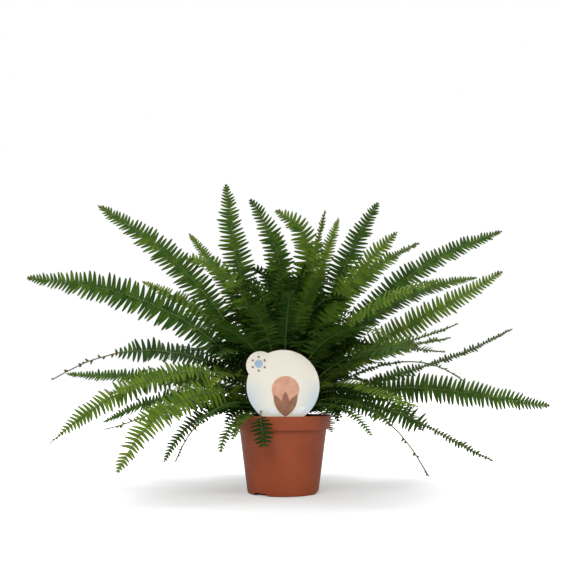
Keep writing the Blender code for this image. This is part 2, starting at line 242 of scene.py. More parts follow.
def new_tree(name, inputs):
    """Geometry node tree with a geometry input, the listed inputs and a geometry output."""
    tree = bpy.data.node_groups.new(name, "GeometryNodeTree")
    tree.interface.new_socket("Geometry", in_out="INPUT", socket_type="NodeSocketGeometry")
    for socket_name, kind, default in inputs:
        socket = tree.interface.new_socket(socket_name, in_out="INPUT", socket_type=kind)
        socket.default_value = default
    tree.interface.new_socket("Geometry", in_out="OUTPUT", socket_type="NodeSocketGeometry")
    entry = add_node(tree, "NodeGroupInput")
    finish = add_node(tree, "NodeGroupOutput")
    return tree, entry, finish


def named(tree, kind, name):
    node = add_node(tree, "GeometryNodeInputNamedAttribute", data_type=kind)
    node.inputs["Name"].default_value = name
    return first_output(node)


def set_inputs(modifier, values):
    for item in modifier.node_group.interface.items_tree:
        if item.item_type == "SOCKET" and item.in_out == "INPUT" and item.name in values:
            modifier[item.identifier] = values[item.name]


def baked(obj, name):
    """Turn an object with live modifiers into a plain mesh object of that name."""
    bpy.context.view_layer.update()
    evaluated = obj.evaluated_get(bpy.context.evaluated_depsgraph_get())
    mesh = bpy.data.meshes.new_from_object(evaluated)
    source = obj.data
    bpy.data.objects.remove(obj, do_unlink=True)
    if source.users == 0:
        bpy.data.batch_remove([source])
    mesh.name = name
    return link_object(name, mesh)


def link_object(name, data):
    obj = bpy.data.objects.new(name, data)
    bpy.context.scene.collection.objects.link(obj)
    return obj


def finish_piece(obj, slot, *nodes):
    if nodes:
        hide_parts(*nodes)
    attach(obj, "root")


# ---------------------------------------------------------------- materials


def new_material(name):
    material = bpy.data.materials.new(name)
    material.use_nodes = True
    tree = material.node_tree
    return material, tree, tree.nodes["Principled BSDF"]


def ramp(tree, factor, stops):
    node = add_node(tree, "ShaderNodeValToRGB")
    elements = node.color_ramp.elements
    while len(elements) < len(stops):
        elements.new(0.5)
    for element, (position, colour) in zip(elements, stops):
        element.position = position
        element.color = (*colour, 1.0)
    tree.links.new(factor, node.inputs["Fac"])
    return node.outputs["Color"]


def noise(tree, vector, scale, detail=3.0, roughness=0.5):
    node = add_node(tree, "ShaderNodeTexNoise")
    node.inputs["Scale"].default_value = scale
    node.inputs["Detail"].default_value = detail
    node.inputs["Roughness"].default_value = roughness
    tree.links.new(vector, node.inputs["Vector"])
    return node.outputs["Fac"]


def maths(tree, operation, first, second=0.0, clamp=False):
    node = add_node(tree, "ShaderNodeMath", operation=operation, use_clamp=clamp)
    for socket, value in zip(node.inputs, (first, second)):
        if isinstance(value, bpy.types.NodeSocket):
            tree.links.new(value, socket)
        else:
            socket.default_value = value
    return node.outputs["Value"]


def mix_colour(tree, factor, first, second):
    node = add_node(tree, "ShaderNodeMix", data_type="RGBA")
    for name, value in (("Factor", factor), ("A", first), ("B", second)):
        socket = next(s for s in node.inputs if s.enabled and s.name == name)
        if isinstance(value, bpy.types.NodeSocket):
            tree.links.new(value, socket)
        elif name == "Factor":
            socket.default_value = value
        else:
            socket.default_value = (*value, 1.0)
    return next(s for s in node.outputs if s.enabled)


def bump(tree, shader, height, strength, distance):
    node = add_node(tree, "ShaderNodeBump")
    node.inputs["Strength"].default_value = strength
    node.inputs["Distance"].default_value = distance
    tree.links.new(height, node.inputs["Height"])
    tree.links.new(node.outputs["Normal"], shader.inputs["Normal"])


def object_coordinates(tree):
    return add_node(tree, "ShaderNodeTexCoord").outputs["Object"]


def attribute(tree, name):
    return add_node(tree, "ShaderNodeAttribute", attribute_name=name).outputs["Fac"]


LEAF_GREENS = [
    (0.0, (0.005, 0.022, 0.003)),
    (0.3, (0.014, 0.048, 0.005)),
    (0.5, (0.042, 0.100, 0.009)),
    (0.75, (0.120, 0.200, 0.015)),
    (1.0, (0.240, 0.310, 0.045)),
]
LEAF_RIB = (0.15, 0.22, 0.02)
LEAF_WORN = (0.105, 0.078, 0.018)
LEAF_GLOW = (0.22, 0.30, 0.015)
LEAF_GLOW_SHARE = 0.22
STALK_FRESH = [(0.35, (0.040, 0.078, 0.008)), (0.65, (0.066, 0.092, 0.012))]
STALK_BARE = (0.085, 0.060, 0.022)
STALK_SCALE = (0.040, 0.032, 0.010)
POT_CLAY = [(0.3, (0.280, 0.056, 0.018)), (0.7, (0.340, 0.073, 0.025))]
POT_DUST = (0.42, 0.24, 0.17)
SOIL_PEAT = [(0.35, (0.012, 0.007, 0.004)), (0.55, (0.045, 0.025, 0.013)), (0.75, (0.120, 0.070, 0.036))]
CROWN_FIBRE = [(0.3, (0.030, 0.016, 0.007)), (0.55, (0.105, 0.060, 0.024)), (0.8, (0.190, 0.120, 0.050))]
PERLITE_GRAIN = [(0.3, (0.36, 0.32, 0.26)), (0.7, (0.66, 0.62, 0.54))]
CARD_CREAM = (0.83, 0.79, 0.68)
CARD_BLUE = (0.40, 0.59, 0.72)
CARD_GREEN = (0.58, 0.70, 0.48)


def leaf_material():
    """Green leaf tissue that varies from frond to frond and browns at worn tips."""
    material, tree, shader = new_material("frond_leaf")
    where = object_coordinates(tree)
    tone = attribute(tree, "tone")
    wear = attribute(tree, "wear")
    across = attribute(tree, "across")
    mottled = maths(tree, "SUBTRACT", noise(tree, where, 90.0), 0.5)
    level = maths(tree, "ADD", tone, maths(tree, "MULTIPLY", mottled, 0.35))
    green = ramp(tree, level, LEAF_GREENS)
    from_rib = maths(tree, "MULTIPLY", maths(tree, "ABSOLUTE", across), 7.0)
    rib = maths(tree, "SUBTRACT", 1.0, from_rib, clamp=True)
    ribbed = mix_colour(tree, maths(tree, "MULTIPLY", rib, 0.25), green, LEAF_RIB)
    worn = mix_colour(tree, wear, ribbed, LEAF_WORN)
    tree.links.new(worn, shader.inputs["Base Color"])
    fine = noise(tree, where, 420.0)
    rough = maths(tree, "ADD", 0.50, maths(tree, "MULTIPLY", fine, 0.2))
    tree.links.new(rough, shader.inputs["Roughness"])
    shader.inputs["Specular IOR Level"].default_value = 0.07
    bump(tree, shader, fine, 0.25, 0.0004)
    glow = add_node(tree, "ShaderNodeBsdfTranslucent")
    tree.links.new(mix_colour(tree, 0.5, worn, LEAF_GLOW), glow.inputs["Color"])
    blend = add_node(tree, "ShaderNodeMixShader")
    blend.inputs["Fac"].default_value = LEAF_GLOW_SHARE
    tree.links.new(shader.outputs["BSDF"], blend.inputs[1])
    tree.links.new(glow.outputs["BSDF"], blend.inputs[2])
    tree.links.new(blend.outputs["Shader"], tree.nodes["Material Output"].inputs["Surface"])
    return material


def stalk_material():
    """Stalk that is green among leaflets and brown where bare, with darker scaly flecks."""
    material, tree, shader = new_material("frond_stalk")
    where = object_coordinates(tree)
    flecks = noise(tree, where, 700.0, detail=2.0)
    fresh = ramp(tree, noise(tree, where, 40.0), STALK_FRESH)
    tint = mix_colour(tree, attribute(tree, "wear"), fresh, STALK_BARE)
    scaly = mix_colour(tree, maths(tree, "GREATER_THAN", flecks, 0.66), tint, STALK_SCALE)
    tree.links.new(scaly, shader.inputs["Base Color"])
    shader.inputs["Roughness"].default_value = 0.62
    bump(tree, shader, flecks, 0.4, 0.0003)
    return material


def pot_material():
    """Satin terracotta-coloured plastic, scuffed and dusted a little."""
    material, tree, shader = new_material("pot_plastic")
    where = object_coordinates(tree)
    tint = ramp(tree, noise(tree, where, 28.0, detail=5.0), POT_CLAY)
    specks = maths(tree, "GREATER_THAN", noise(tree, where, 520.0, detail=1.0), 0.7)
    dusty = mix_colour(tree, maths(tree, "MULTIPLY", specks, 0.12), tint, POT_DUST)
    tree.links.new(dusty, shader.inputs["Base Color"])
    scuffs = maths(tree, "MULTIPLY", noise(tree, where, 75.0, detail=4.0), 0.2)
    tree.links.new(maths(tree, "ADD", 0.36, scuffs), shader.inputs["Roughness"])
    shader.inputs["Specular IOR Level"].default_value = 0.28
    bump(tree, shader, noise(tree, where, 900.0, detail=2.0), 0.10, 0.0002)
    return material


def grainy_material(name, scale, stops, dullness, relief=None, **grain):
    """One noise for the colour and the relief, which is the bump's strength and distance."""
    material, tree, shader = new_material(name)
    grains = noise(tree, object_coordinates(tree), scale, **grain)
    tree.links.new(ramp(tree, grains, stops), shader.inputs["Base Color"])
    shader.inputs["Roughness"].default_value = dullness
    if relief:
        bump(tree, shader, grains, *relief)
    return material


def soil_material():
    """Dark moist peat with fibres and paler crumbs."""
    return grainy_material("potting_soil", 260.0, SOIL_PEAT, 0.95, (0.9, 0.002), detail=6.0, roughness=0.7)


def bark_material():
    """Brown fibrous crown tissue."""
    relief = (0.7, 0.0015)
    return grainy_material("crown_tissue", 340.0, CROWN_FIBRE, 0.85, relief, detail=5.0, roughness=0.65)


def perlite_material():
    """Off-white puffed mineral grains."""
    return grainy_material("perlite", 800.0, PERLITE_GRAIN, 0.9, (0.5, 0.0006))


def ink_material(name, pale, deep):
    """Printed colour with a soft change of tone."""
    return grainy_material(name, 110.0, [(0.35, pale), (0.65, deep)], 0.45)


def card_material():
    """Cream card washed pale blue at the sides and pale green at the foot."""
    material, tree, shader = new_material("label_card")
    where = object_coordinates(tree)
    parts = feed(tree, add_node(tree, "ShaderNodeSeparateXYZ"), Vector=where)
    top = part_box("plant_label")[1][2]
    across = maths(tree, "ABSOLUTE", parts.outputs["X"])
    drift = maths(tree, "SUBTRACT", noise(tree, where, 55.0), 0.5)
    soft = maths(tree, "MULTIPLY", drift, 0.02)
    down = maths(tree, "SUBTRACT", top - 0.030, maths(tree, "ADD", parts.outputs["Z"], soft))
    outward = maths(tree, "ADD", maths(tree, "SUBTRACT", across, 0.018), soft)
    side = maths(tree, "MULTIPLY", outward, 42.0, clamp=True)
    low = maths(tree, "MULTIPLY", down, 26.0, clamp=True)
    washed = maths(tree, "MULTIPLY", maths(tree, "MULTIPLY", side, low), 0.95)
    blue = mix_colour(tree, washed, CARD_CREAM, CARD_BLUE)
    foot = maths(tree, "MULTIPLY", maths(tree, "SUBTRACT", down, 0.042), 60.0, clamp=True)
    green = mix_colour(tree, maths(tree, "MULTIPLY", foot, 0.7), blue, CARD_GREEN)
    tree.links.new(green, shader.inputs["Base Color"])
    shader.inputs["Roughness"].default_value = 0.42
    shader.inputs["Specular IOR Level"].default_value = 0.4
    bump(tree, shader, noise(tree, where, 1200.0, detail=1.0), 0.05, 0.0001)
    return material


# ---------------------------------------------------------------- fronds

SECTIONS = 44
LEAFLET_STATIONS = (0.0, 0.05, 0.16, 0.42, 0.70, 0.90, 0.975)
OUTER_EDGE = (0.34, 0.66, 0.54, 0.43, 0.32, 0.20, 0.09)
INNER_EDGE = (0.30, 0.50, 0.48, 0.42, 0.31, 0.19, 0.08)
LEAFLET_BOW = 0.14
LEAFLET_DROOPS = (0.03, 0.10, 0.20, -0.05)
LEAFLET_EDGE_RISE = 0.006
LEAFLET_CREASE = 0.014


def leaflet_mesh(name, droop, hand):
    """Closed unit leaflet along +X with a creased midrib; hand is the side its ear is on."""
    bm = bmesh.new()
    across = bm.verts.layers.float.new("across")
    rings = []
    for x, outer, inner in zip(LEAFLET_STATIONS, OUTER_EDGE, INNER_EDGE):
        middle = LEAFLET_BOW * x * x * hand
        fall = -droop * x * x
        thick = 0.007 + 0.006 * (1.0 - x)
        ring = [
            bm.verts.new((x, middle - inner * hand, fall + LEAFLET_EDGE_RISE)),
            bm.verts.new((x, middle, fall - LEAFLET_CREASE + thick)),
            bm.verts.new((x, middle + outer * hand, fall + LEAFLET_EDGE_RISE)),
            bm.verts.new((x, middle, fall - LEAFLET_CREASE - thick)),
        ]
        for vertex, value in zip(ring, (-1.0, 0.0, 1.0, 0.0)):
            vertex[across] = value
        rings.append(ring)
    tip = bm.verts.new((1.0, LEAFLET_BOW * hand, -droop))
    faces = [bm.faces.new(rings[0])]
    for near, far in zip(rings, rings[1:]):
        for i in range(4):
            j = (i + 1) % 4
            faces.append(bm.faces.new((near[i], near[j], far[j], far[i])))
    for i in range(4):
        faces.append(bm.faces.new((rings[-1][i], rings[-1][(i + 1) % 4], tip)))
    bmesh.ops.recalc_face_normals(bm, faces=bm.faces)
    for face in faces:
        face.smooth = True
    edge_verts = {ring[i] for ring in rings for i in (0, 2)} | {tip}
    for edge in bm.edges:
        edge.smooth = not (edge.verts[0] in edge_verts and edge.verts[1] in edge_verts)
    mesh = bpy.data.meshes.new(name)
    bm.to_mesh(mesh)
    bm.free()
    return mesh


def leaflet_collection():
    """Leaflets to pick from, in name order: one droop after the other, right hand then left."""
    collection = bpy.data.collections.new("leaflets")
    for index, droop in enumerate(LEAFLET_DROOPS):
        for side, hand in (("a", 1.0), ("b", -1.0)):
            name = f"leaflet_{index}{side}"
            collection.objects.link(bpy.data.objects.new(name, leaflet_mesh(name, droop, hand)))
    return collection


def frond_tree(leaflets, leaf, stalk):
    """Leaflets on the marked points and a tapering stalk along the guide line."""
    tree, entry, finish = new_tree("Frond", [
        ("Turn Jitter", "NodeSocketFloat", 0.1),
        ("Size Jitter", "NodeSocketFloat", 0.1),
        ("Seed", "NodeSocketInt", 1),
    ])
    turn_jitter, size_jitter, seed = (entry.outputs[n] for n in ("Turn Jitter", "Size Jitter", "Seed"))
    split = feed(
        tree, add_node(tree, "GeometryNodeSeparateGeometry", domain="POINT"),
        Geometry=entry.outputs["Geometry"], Selection=named(tree, "BOOLEAN", "is_leaflet"),
    )
    turn = made(tree, "FunctionNodeEulerToRotation", Euler=named(tree, "FLOAT_VECTOR", "turn"))
    most = made(tree, "ShaderNodeCombineXYZ", X=turn_jitter, Y=turn_jitter, Z=turn_jitter)
    least = made(tree, "ShaderNodeVectorMath", {"operation": "SCALE"}, Vector=most, Scale=-1.0)
    shake = made(
        tree, "FunctionNodeRandomValue", {"data_type": "FLOAT_VECTOR"}, Min=least, Max=most, Seed=seed
    )
    rotation = made(
        tree, "FunctionNodeRotateRotation", {"rotation_space": "LOCAL"},
        Rotation=turn, Rotate_By=made(tree, "FunctionNodeEulerToRotation", Euler=shake),
    )
    growth = made(
        tree, "FunctionNodeRandomValue", {"data_type": "FLOAT"},
        Min=maths(tree, "SUBTRACT", 1.0, size_jitter), Max=maths(tree, "ADD", 1.0, size_jitter), Seed=seed,
    )
    size = made(
        tree, "ShaderNodeVectorMath", {"operation": "SCALE"},
        Vector=named(tree, "FLOAT_VECTOR", "size"), Scale=growth,
    )
    placed = made(
        tree, "GeometryNodeInstanceOnPoints",
        Points=split.outputs["Selection"], Instance=shapes_of(tree, leaflets), Pick_Instance=True,
        Instance_Index=named(tree, "INT", "kind"), Rotation=rotation, Scale=size,
    )
    line = made(tree, "GeometryNodeMeshToCurve", Mesh=split.outputs["Inverted"])
    thick = made(
        tree, "GeometryNodeSetCurveRadius", Curve=line, Radius=named(tree, "FLOAT", "stalk_radius")
    )
    ring = made(tree, "GeometryNodeCurvePrimitiveCircle", Resolution=6, Radius=1.0)
    tube = feed(
        tree, add_node(tree, "GeometryNodeCurveToMesh"), Curve=thick, Profile_Curve=ring, Fill_Caps=True
    )
    if "Scale" in tube.inputs:
        tree.links.new(named(tree, "FLOAT", "stalk_radius"), tube.inputs["Scale"])
    smooth = made(tree, "GeometryNodeSetShadeSmooth", Geometry=first_output(tube), Shade_Smooth=True)
    joined = add_node(tree, "GeometryNodeJoinGeometry")
    tree.links.new(realised(tree, placed, leaf), joined.inputs["Geometry"])
    tree.links.new(
        made(tree, "GeometryNodeSetMaterial", Geometry=smooth, Material=stalk), joined.inputs["Geometry"]
    )
    tree.links.new(first_output(joined), finish.inputs["Geometry"])
    return tree


def smoothed(values, rounds):
    """Moving average that keeps the two ends."""
    result = np.array(values, float)
    for _ in range(rounds):
        inner = (result[:-2] + 2.0 * result[1:-1] + result[2:]) / 4.0
        result = np.concatenate([result[:1], inner, result[-1:]])
    return result


def unit(rows):
    """Rows scaled to length one."""
    return rows / np.maximum(np.linalg.norm(rows, axis=-1, keepdims=True), 1e-12)


def blade_line(node):
    """Rachis points, side vectors and half widths of a frond's sheet, from crown to tip.

    Spheres about the stalk's foot cut the sheet across; each cut's middle lies on the rachis
    and its long direction is the blade's side.
    """
    mesh = frame["nodes"][node].data
    mesh.calc_loop_triangles()
    points = np.empty(len(mesh.vertices) * 3)
    mesh.vertices.foreach_get("co", points)
    points = points.reshape(-1, 3)
    corners = np.empty(len(mesh.loop_triangles) * 3, int)
    mesh.loop_triangles.foreach_get("vertices", corners)
    triangles = corners.reshape(-1, 3)
    seat = np.array([0.0, 0.0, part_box("crown")[0][2]])
    near = np.argsort(np.linalg.norm(points - seat, axis=1))[:6]
    foot = points[near].mean(axis=0)
    distance = np.linalg.norm(points - foot, axis=1)
    tip = points[np.argsort(distance)[-4:]].mean(axis=0)
    reach = np.linalg.norm(tip - foot)
    edges = np.concatenate([triangles[:, [0, 1]], triangles[:, [1, 2]], triangles[:, [2, 0]]])
    edges = np.unique(np.sort(edges, axis=1), axis=0)
    heading = unit(np.array([tip[0], tip[1], 0.0]))
    reference = np.array([heading[1], -heading[0], 0.0])
    middles = [foot]
    sides = [reference]
    widths = [0.0]
    for k in range(1, SECTIONS):
        radius = reach * (0.02 + 0.965 * k / SECTIONS)
        first, second = distance[edges[:, 0]], distance[edges[:, 1]]
        crossed = (first - radius) * (second - radius) < 0.0
        share = (radius - first[crossed]) / (second[crossed] - first[crossed])
        a, b = points[edges[crossed, 0]], points[edges[crossed, 1]]
        cut = a + (b - a) * share[:, None]
        if len(cut) < 4:
            continue
        centre = cut.mean(axis=0)
        side = np.linalg.svd(cut - centre)[2][0]
        if side @ reference < 0.0:
            side = -side
        along = (cut - centre) @ side
        middle = centre + side * (along.max() + along.min()) / 2.0
        middles.append(middle)
        sides.append(side)
        widths.append((along.max() - along.min()) / 2.0)
    middles.append(tip)
    sides.append(sides[-1])
    widths.append(0.0)
    sides[0] = sides[1]
    widths = np.array(widths)
    padded = np.pad(widths, 3, mode="edge")
    envelope = np.max([padded[i:i + len(widths)] for i in range(7)], axis=0)
    envelope[-3:] = envelope[-4] * np.array([0.6, 0.35, 0.15])
    return smoothed(middles, 3), unit(smoothed(sides, 4)), smoothed(envelope, 3)


# leaflets start at this share of the way to where the sheet is half its full width
BLADE_START_SHARE = 0.45
STUNTED_HALF_WIDTH = 4.2 * MM
# share of the blade over which it narrows to the stunted strip
STUNTED_TAPER = 0.06


class Rachis:
    """A frond's line, read at any length along it."""

    def __init__(self, middles, sides, widths):
        steps = np.linalg.norm(np.diff(middles, axis=0), axis=1)
        self.lengths = np.concatenate([[0.0], np.cumsum(steps)])
        self.total = self.lengths[-1]
        self.middles = middles
        self.sides = sides
        self.tangents = unit(np.gradient(middles, self.lengths, axis=0))
        self.half = float(widths.max())
        wide = np.nonzero(widths > 0.5 * self.half)[0]
        self.blade_start = self.lengths[wide[0]] * BLADE_START_SHARE

    def half_width(self, length, stunted=None):
        """Half width of the blade: short leaflets at its foot, a long even stretch, a blunt tip."""
        share = min(1.0, max(0.0, (length - self.blade_start) / (self.total - self.blade_start)))
        half = self.half * min(1.0, 0.35 + 2.6 * share) * max(0.06, (1.0 - share**3.2) ** 0.62)
        if stunted is not None and share > stunted:
            past = min(1.0, (share - stunted) / STUNTED_TAPER)
            strip = STUNTED_HALF_WIDTH * (0.3 + math.sin(math.pi * (share - stunted) / (1.0 - stunted)))
            half = half * (1.0 - past) + strip * past
        return half

    def turn_to_front(self, share):
        """Roll the blade about its own line towards lying flat to the front."""
        frontal = unit(np.cross(self.tangents, (0.0, 1.0, 0.0)))
        frontal *= np.sign(np.sum(frontal * self.sides, axis=1, keepdims=True))
        self.sides = unit(smoothed(self.sides * (1.0 - share) + frontal * share, 6))

    def read(self, rows, length):
        return np.array([np.interp(length, self.lengths, rows[:, i]) for i in range(3)])

    def at(self, length):
        """Point, side, tangent and face vectors at a length."""
        tangent = unit(self.read(self.tangents, length))
        side = self.read(self.sides, length)
        side = unit(side - tangent * (side @ tangent))
        return self.read(self.middles, length), side, tangent, np.cross(side, tangent)


def leaflet_turn(side, tangent, face, hand, sweep, lift, shingle):
    """Rotation that lays a leaflet out from the rachis on the side that hand names."""
    out = side * hand
    axis = out * math.cos(sweep) + tangent * math.sin(sweep)
    axis = axis * math.cos(lift) + face * math.sin(lift)
    forward = np.cross(face, axis)
    forward /= np.linalg.norm(forward)
    up = np.cross(axis, forward)
    rotation = Matrix((axis, forward, up)).transposed()
    return rotation @ Matrix.Rotation(shingle * hand, 3, "X")


LABEL_LOW, LABEL_HIGH = (np.array(corner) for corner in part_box("plant_label"))
CARD_MARGIN = 6.0 * MM
CARD_RADIUS = (LABEL_HIGH[0] - LABEL_LOW[0]) / 2.0 + CARD_MARGIN
CARD_CENTRE = (LABEL_LOW + LABEL_HIGH) / 2.0
CARD_CENTRE[2] = LABEL_HIGH[2] - CARD_RADIUS + CARD_MARGIN


def meets_card(start, end):
    """True where a stretch passes through the plant label's card, or nearly."""
    first, second = start[1] - CARD_CENTRE[1], end[1] - CARD_CENTRE[1]
    if first * second > 0.0 and min(abs(first), abs(second)) > CARD_MARGIN:
        return False
    share = 0.5 if first == second else min(1.0, max(0.0, first / (first - second)))
    place = start + (end - start) * share - CARD_CENTRE
    return math.hypot(place[0], place[2]) < CARD_RADIUS


GUIDE_STEP = 6.0 * MM
# a bare stalk's tip is this much thicker than a leafy one's
BARE_STALK_SHARE = 1.7
MISSING_SHARE = 0.004
MISSING_BARE_SHARE = 0.75
WORN_SHARE = 0.008
WORN_TIP_FROM = 0.96
WORN_TIP_SHARE = 0.35
SHORTEST_LEAFLET = 2.5 * MM
# leaflets shorter than this are at least STUNTED_LEAFLET_SHARE as wide as long
STUNTED_REACH = 5.0 * MM
STUNTED_LEAFLET_SHARE = 0.85


def frond_points(rachis, settings, rng, tone, withered, stunted):
    """Guide vertices and attributes: the stalk's line, then two leaflets at every step."""
    rows = {key: [] for key in ("co", "is_leaflet", "turn", "size", "kind", "stalk_radius", "tone", "wear")}

    def put(co, leaflet, turn, size, kind, radius, shade, wear):
        for key, value in zip(rows, (co, leaflet, turn, size, kind, radius, shade, wear)):
            rows[key].append(value)

    count = max(12, int(rachis.total / GUIDE_STEP))
    thin = settings.rachis_tip_radius
    if withered is not None or stunted is not None:
        thin *= BARE_STALK_SHARE
    for i in range(count + 1):
        share = i / count
        bare = withered is not None and share > withered
        radius = settings.rachis_radius * (1.0 - share) + thin * share
        centre = rachis.read(rachis.middles, rachis.total * share)
        put(centre, False, (0, 0, 0), (1, 1, 1), 0, radius, tone, float(bare))
    blade = rachis.total - rachis.blade_start
    length = rachis.blade_start + 0.002
    while length < rachis.total - 0.0008:
        along = (length - rachis.blade_start) / blade
        half = rachis.half_width(length, stunted)
        centre, side, tangent, face = rachis.at(length)
        gone = withered is not None and along > withered
        for hand in (1.0, -1.0):
            if rng.random() < (MISSING_BARE_SHARE if gone else MISSING_SHARE):
                continue
            long = half * settings.reach_share * (0.94 + 0.12 * rng.random())
            if gone:
                long = max(SHORTEST_LEAFLET, long * (0.25 + 0.3 * rng.random()))
            elif withered is not None:
                long *= min(1.0, 0.3 + 7.0 * (withered - along))
            elif stunted is not None and along > stunted + STUNTED_TAPER:
                long *= rng.uniform(0.5, 1.3)
            sweep = settings.sweep + settings.tip_sweep * along**3
            turn = leaflet_turn(
                side, tangent, face, hand, sweep, settings.lift * rng.uniform(0.2, 1.3),
                settings.shingle * rng.uniform(0.4, 1.5),
            )
            droop = rng.choices((0, 1, 2, 3), (5, 5, 2, 1))[0]
            if meets_card(centre, centre + np.array(turn.col[0]) * long):
                continue
            wear = 0.0
            if gone or (along > WORN_TIP_FROM and rng.random() < WORN_TIP_SHARE):
                wear = rng.uniform(0.4, 1.0)
            elif rng.random() < WORN_SHARE:
                wear = rng.uniform(0.1, 0.4)
            shade = tone + rng.uniform(-0.09, 0.09) + 0.16 * along**2
            wide = settings.width_least + settings.width_share * long
            if long < STUNTED_REACH:
                wide = max(wide, STUNTED_LEAFLET_SHARE * long)
            if stunted is not None and along > stunted:
                wear = max(wear, rng.uniform(0.05, 0.4))
                shade -= 0.10
            put(
                centre, True, tuple(turn.to_euler()), (long, wide, long),
                2 * droop + (0 if hand > 0 else 1), 0.0, shade, wear,
            )
        length += settings.pitch_least + settings.pitch_share * half * settings.reach_share
    return rows, count


def build_frond(name, rachis, tree, settings, rng, tone, withered=None, stunted=None):
    rows, count = frond_points(rachis, settings, rng, tone, withered, stunted)
    mesh = bpy.data.meshes.new(name + "_guide")
    mesh.from_pydata([tuple(co) for co in rows["co"]], [(i, i + 1) for i in range(count)], [])
    for key, kind in (("turn", "FLOAT_VECTOR"), ("size", "FLOAT_VECTOR")):
        layer = mesh.attributes.new(key, kind, "POINT")
        layer.data.foreach_set("vector", np.array(rows[key], float).ravel())
    for key, kind in (
        ("is_leaflet", "BOOLEAN"),
        ("kind", "INT"),
        ("stalk_radius", "FLOAT"),
        ("tone", "FLOAT"),
        ("wear", "FLOAT"),
    ):
        layer = mesh.attributes.new(key, kind, "POINT")
        layer.data.foreach_set("value", rows[key])
    guide = link_object(name + "_guide", mesh)
    modifier = guide.modifiers.new("leaves", "NODES")
    modifier.node_group = tree
    set_inputs(modifier, {
        "Turn Jitter": settings.turn_jitter,
        "Size Jitter": settings.size_jitter,
        "Seed": rng.randrange(10000),
    })
    return baked(guide, name)


# level of green of a plain frond, from 0, dark, to 1, bright, and the span of FROND_TONES
MIDDLE_TONE = 0.46
TONE_SPAN = 0.26


class FERN_OT_fronds(bpy.types.Operator):
    """Grow leaflets along every frond of the frame"""

    bl_idname = "fern.fronds"
    bl_label = "Fronds"

    def execute(self, context):
        settings = context.scene.fern_leaf
        tree = frond_tree(leaflet_collection(), leaf_material(), stalk_material())
        prefix = "frond_"
        nodes = sorted(node for node in frame["nodes"] if node.startswith(prefix))
        if not nodes:
            self.report({"ERROR"}, "the frame holds no fronds")
            return {"CANCELLED"}
        for index, node in enumerate(nodes):
            rng = random.Random(settings.seed * 1000 + index)
            rachis = Rachis(*blade_line(node))
            key = node.removeprefix(prefix)
            rachis.half *= BLADE_SHARES.get(key, 1.0)
            rachis.turn_to_front(FRONTAL_SHARES.get(key, FRONTAL_SHARE))
            tone = MIDDLE_TONE + TONE_SPAN * FROND_TONES.get(key, 0.0)
            if key not in FROND_TONES:
                tone += rng.uniform(-0.12, 0.08)
            piece = build_frond(
                node + "_leafy", rachis, tree, settings, rng, tone,
                WITHERED_FROM.get(key), STUNTED_FROM.get(key),
            )
            finish_piece(piece, "frond_leaf", node)
        return {"FINISHED"}


def arching_line(start, rise, tip, count=24):
    """Points from a start, first upwards, then over to a tip."""
    points = []
    for i in range(count + 1):
        t = i / count
        s = 1.0 - t
        points.append(start * s * s + (start + rise) * (2.0 * s * t) + tip * t * t)
    return np.array(points)


# places on the line of the frond that hangs over the front of the rim, from the rim's height
RIM_FROND_LINE = (
    (-0.012, -0.012, 0.001),
    (-0.034, -0.046, 0.012),
    (-0.026, -0.076, 0.010),
    (-0.022, -0.072, -0.036),
)
RIM_FROND_BARE_SHARE = 0.6
RIM_FRONTAL_SHARE = 0.4
GOLDEN_ANGLE = math.radians(137.5)
UP = np.array([0.0, 0.0, 1.0])

# foot of a young frond, from the crown's top: out and down for the first, and what the last adds
YOUNG_FOOT_OUT = (4.0 * MM, 14.0 * MM)
YOUNG_FOOT_DOWN = (4.0 * MM, 8.0 * MM)
# extra reach of the young fronds towards +X, lost towards -X
YOUNG_LEAN = 25.0 * MM
# a young frond that points more to the front than this reaches only a share as far
YOUNG_FRONT_FROM = -0.55
YOUNG_FRONT_SHARE = 0.55
YOUNG_ROLL = 0.5
# no rim frond points more to the front than this
RIM_FRONT_FROM = -0.80
RIM_FROND_REACH = (1.15, 1.85)
RIM_FROND_TIP = (-10.0 * MM, 30.0 * MM)
RIM_FROND_FOOT = (18.0 * MM, 1.0 * MM)


def bezier_line(corners, count=24):
    """Points along a cubic curve."""
    first, second, third, last = (np.array(corner) for corner in corners)
    points = []
    for i in range(count + 1):
        t = i / count
        w = 1.0 - t
        points.append(first * w**3 + second * 3 * w * w * t + third * 3 * w * t * t + last * t**3)
    return np.array(points)


